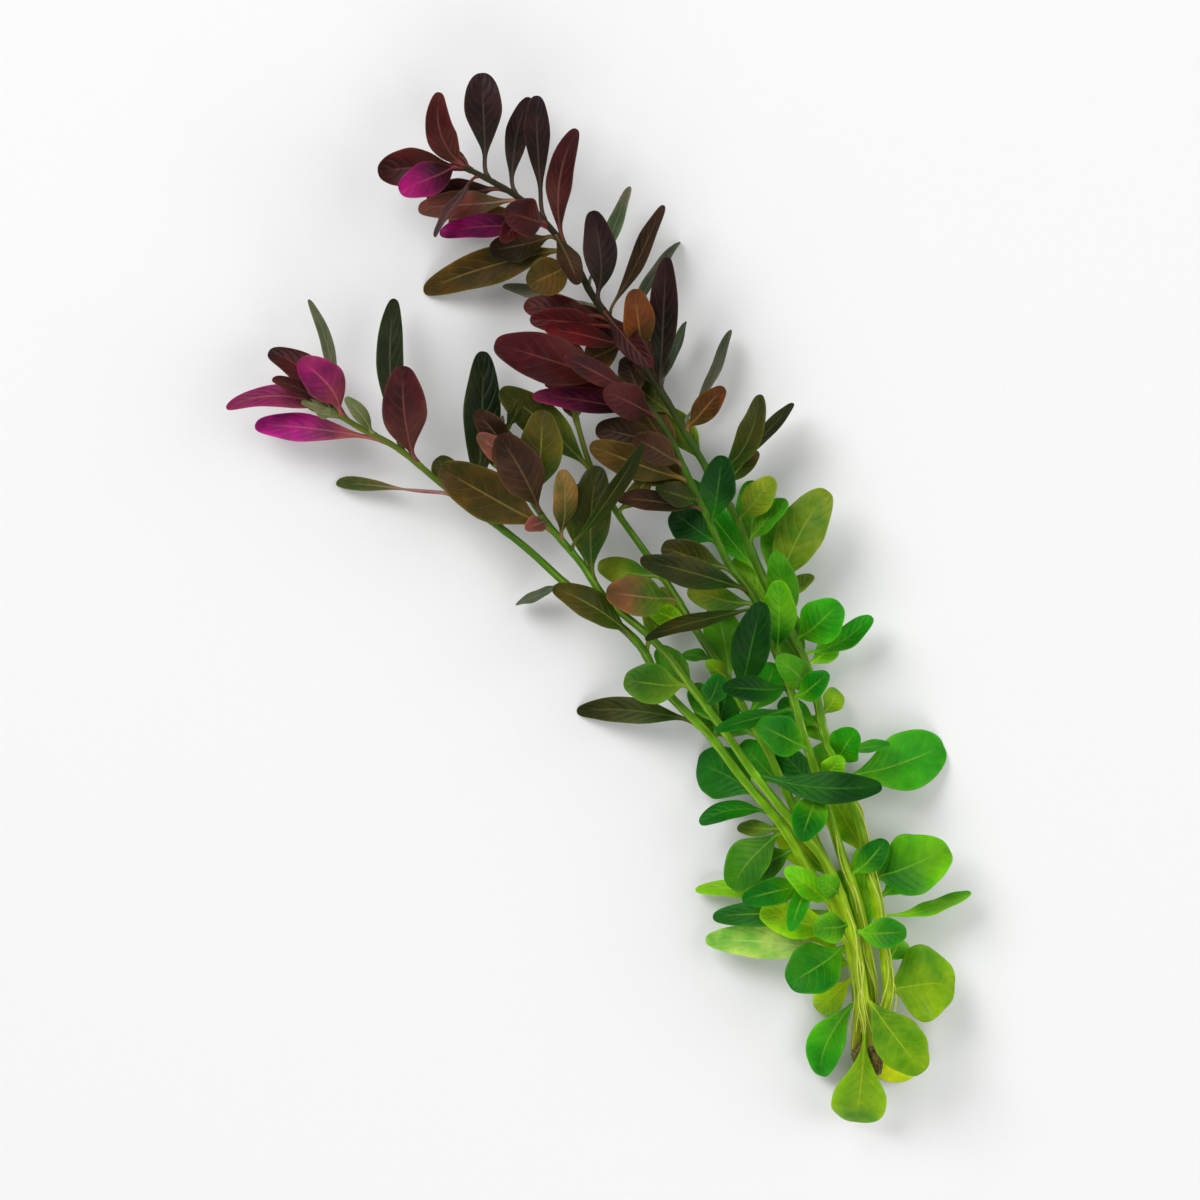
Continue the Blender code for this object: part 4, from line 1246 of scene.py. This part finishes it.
class LUDWIGIA_OT_stems(bpy.types.Operator):
    """Grow the five stems, each with the small leaves and the bud that belong to it"""

    bl_idname = "ludwigia.stems"
    bl_label = "Stems and small leaves"

    def execute(self, context):
        scene = context.scene
        stems, stem_colours = scene.ludwigia_stems, scene.ludwigia_stem_colours
        leaves, colours = scene.ludwigia_leaves, scene.ludwigia_leaf_colours
        for name in STEMS:
            line, radii, specs, first = shoot(name)
            along, _, _ = directions(line)
            longer = np.concatenate(([line[0] - along[0] * IN_CROWN], line))
            wider = np.concatenate((radii[:1], radii))
            joints = [spec.at for spec in specs]
            end = getattr(stem_colours, STEM_ENDS[name])
            surfaces = [stem_surface(longer, wider, joints, stems, stem_colours, end)]
            grown = [(spec, seed) for seed, spec in enumerate(specs, first) if spec.small]
            buds = enumerate(bud_leaves(line, BUDS[name]), BUD_SEED)
            grown += [(spec, seed) for seed, spec in buds]
            for spec, seed in grown:
                surfaces.append(leaf_surface(spec, line, radii, seed, leaves, colours))
            make_piece(f"{name}_shoot", surfaces, f"stem_{name}")
        return {"FINISHED"}


class LUDWIGIA_OT_leaves(bpy.types.Operator):
    """Grow the large leaves, each a piece of its own"""

    bl_idname = "ludwigia.leaves"
    bl_label = "Large leaves"

    def execute(self, context):
        scene = context.scene
        sizes, colours = scene.ludwigia_leaves, scene.ludwigia_leaf_colours
        for name in STEMS:
            line, radii, specs, first = shoot(name)
            large = [(spec, seed) for seed, spec in enumerate(specs, first) if not spec.small]
            for number, (spec, seed) in enumerate(large, 1):
                surface = leaf_surface(spec, line, radii, seed, sizes, colours)
                label = f"{name}_{number:02d}"
                make_piece(f"{label}_leaf", [surface], f"leaf_{label}")
        return {"FINISHED"}


# The lights: name, place, width and share of the main light's power.
LIGHTS = (
    ("key light", (-0.9, 0.9, 1.3), 1.1, 1.0),
    ("fill light", (1.2, 0.2, 1.0), 1.4, 0.55),
    ("low light", (0.1, -1.3, 1.0), 1.4, 0.5),
)
FLOOR_RADIUS = 4
FLOOR_SIDES = 96
LEAF_HEIGHT = 15  # millimetres over the floor, where the view has its stated width


def add_light(name, place, size, power):
    """A soft square light that points at the middle of the plant."""
    data = bpy.data.lights.new(name, "AREA")
    data.shape = "SQUARE"
    data.size = size
    data.energy = power
    made = bpy.data.objects.new(name, data)
    bpy.context.scene.collection.objects.link(made)
    made.location = place
    made.rotation_euler = (-made.location).to_track_quat("-Z", "Y").to_euler()


class LUDWIGIA_OT_stage(bpy.types.Operator):
    """Make the floor, the lights and the camera that looks straight down"""

    bl_idname = "ludwigia.stage"
    bl_label = "Stage"

    def execute(self, context):
        scene = context.scene
        settings = scene.ludwigia_stage
        mesh = bpy.data.meshes.new("floor")
        angle = 2 * np.pi * np.arange(FLOOR_SIDES) / FLOOR_SIDES
        rim = FLOOR_RADIUS * np.stack((np.cos(angle), np.sin(angle), 0 * angle), axis=-1)
        mesh.from_pydata(rim.tolist(), [], [list(range(FLOOR_SIDES))])
        mesh.materials.append(floor_card())
        floor = bpy.data.objects.new("floor", mesh)
        scene.collection.objects.link(floor)

        for name, place, size, share in LIGHTS:
            add_light(name, place, size, settings.light * share)
        world = bpy.data.worlds.new("studio")
        world.use_nodes = True
        background = world.node_tree.nodes["Background"]
        background.inputs["Color"].default_value = (1.0, 1.0, 1.0, 1.0)
        background.inputs["Strength"].default_value = settings.sky
        scene.world = world
        scene.view_settings.view_transform = "Standard"
        scene.view_settings.look = "None"

        data = bpy.data.cameras.new("camera")
        data.sensor_width = 36.0
        data.lens = data.sensor_width * settings.distance / settings.width
        data.clip_start, data.clip_end = 0.05, 20.0
        camera = bpy.data.objects.new("camera", data)
        camera.location = (0.0, 0.0, settings.distance + LEAF_HEIGHT * MM)
        scene.collection.objects.link(camera)
        scene.camera = camera
        return {"FINISHED"}


class LUDWIGIA_PT_panel(bpy.types.Panel):
    """Lists the pieces of the plant and their settings"""

    bl_label = "Ludwigia Repens"
    bl_idname = "LUDWIGIA_PT_panel"
    bl_space_type = "VIEW_3D"
    bl_region_type = "UI"
    bl_category = "Ludwigia"

    def draw(self, context):
        layout = self.layout
        for operator in OPERATORS:
            layout.operator(operator.bl_idname)
        for name, group in GROUPS.items():
            box = layout.box()
            box.label(text=group.__name__)
            for setting in group.__annotations__:
                box.prop(getattr(context.scene, name), setting)


OPERATORS = (LUDWIGIA_OT_crown, LUDWIGIA_OT_stems, LUDWIGIA_OT_leaves, LUDWIGIA_OT_stage)
GROUPS = {
    "ludwigia_leaf_colours": LeafColours,
    "ludwigia_stem_colours": StemColours,
    "ludwigia_leaves": LeafSizes,
    "ludwigia_stems": StemSizes,
    "ludwigia_stage": StageSettings,
}


def register():
    """Register the settings, the operators and the panel."""
    for name, group in GROUPS.items():
        bpy.utils.register_class(group)
        setattr(bpy.types.Scene, name, PointerProperty(type=group))
    for cls in (*OPERATORS, LUDWIGIA_PT_panel):
        bpy.utils.register_class(cls)


def unregister():
    """Take them away again, in the opposite order."""
    for cls in (LUDWIGIA_PT_panel, *reversed(OPERATORS)):
        bpy.utils.unregister_class(cls)
    for name, group in reversed(GROUPS.items()):
        delattr(bpy.types.Scene, name)
        bpy.utils.unregister_class(group)


def main():
    """Register the classes and make every piece and the stage."""
    register()
    bpy.ops.ludwigia.crown()
    bpy.ops.ludwigia.stems()
    bpy.ops.ludwigia.leaves()
    bpy.ops.ludwigia.stage()


if __name__ == "__main__":
    main()
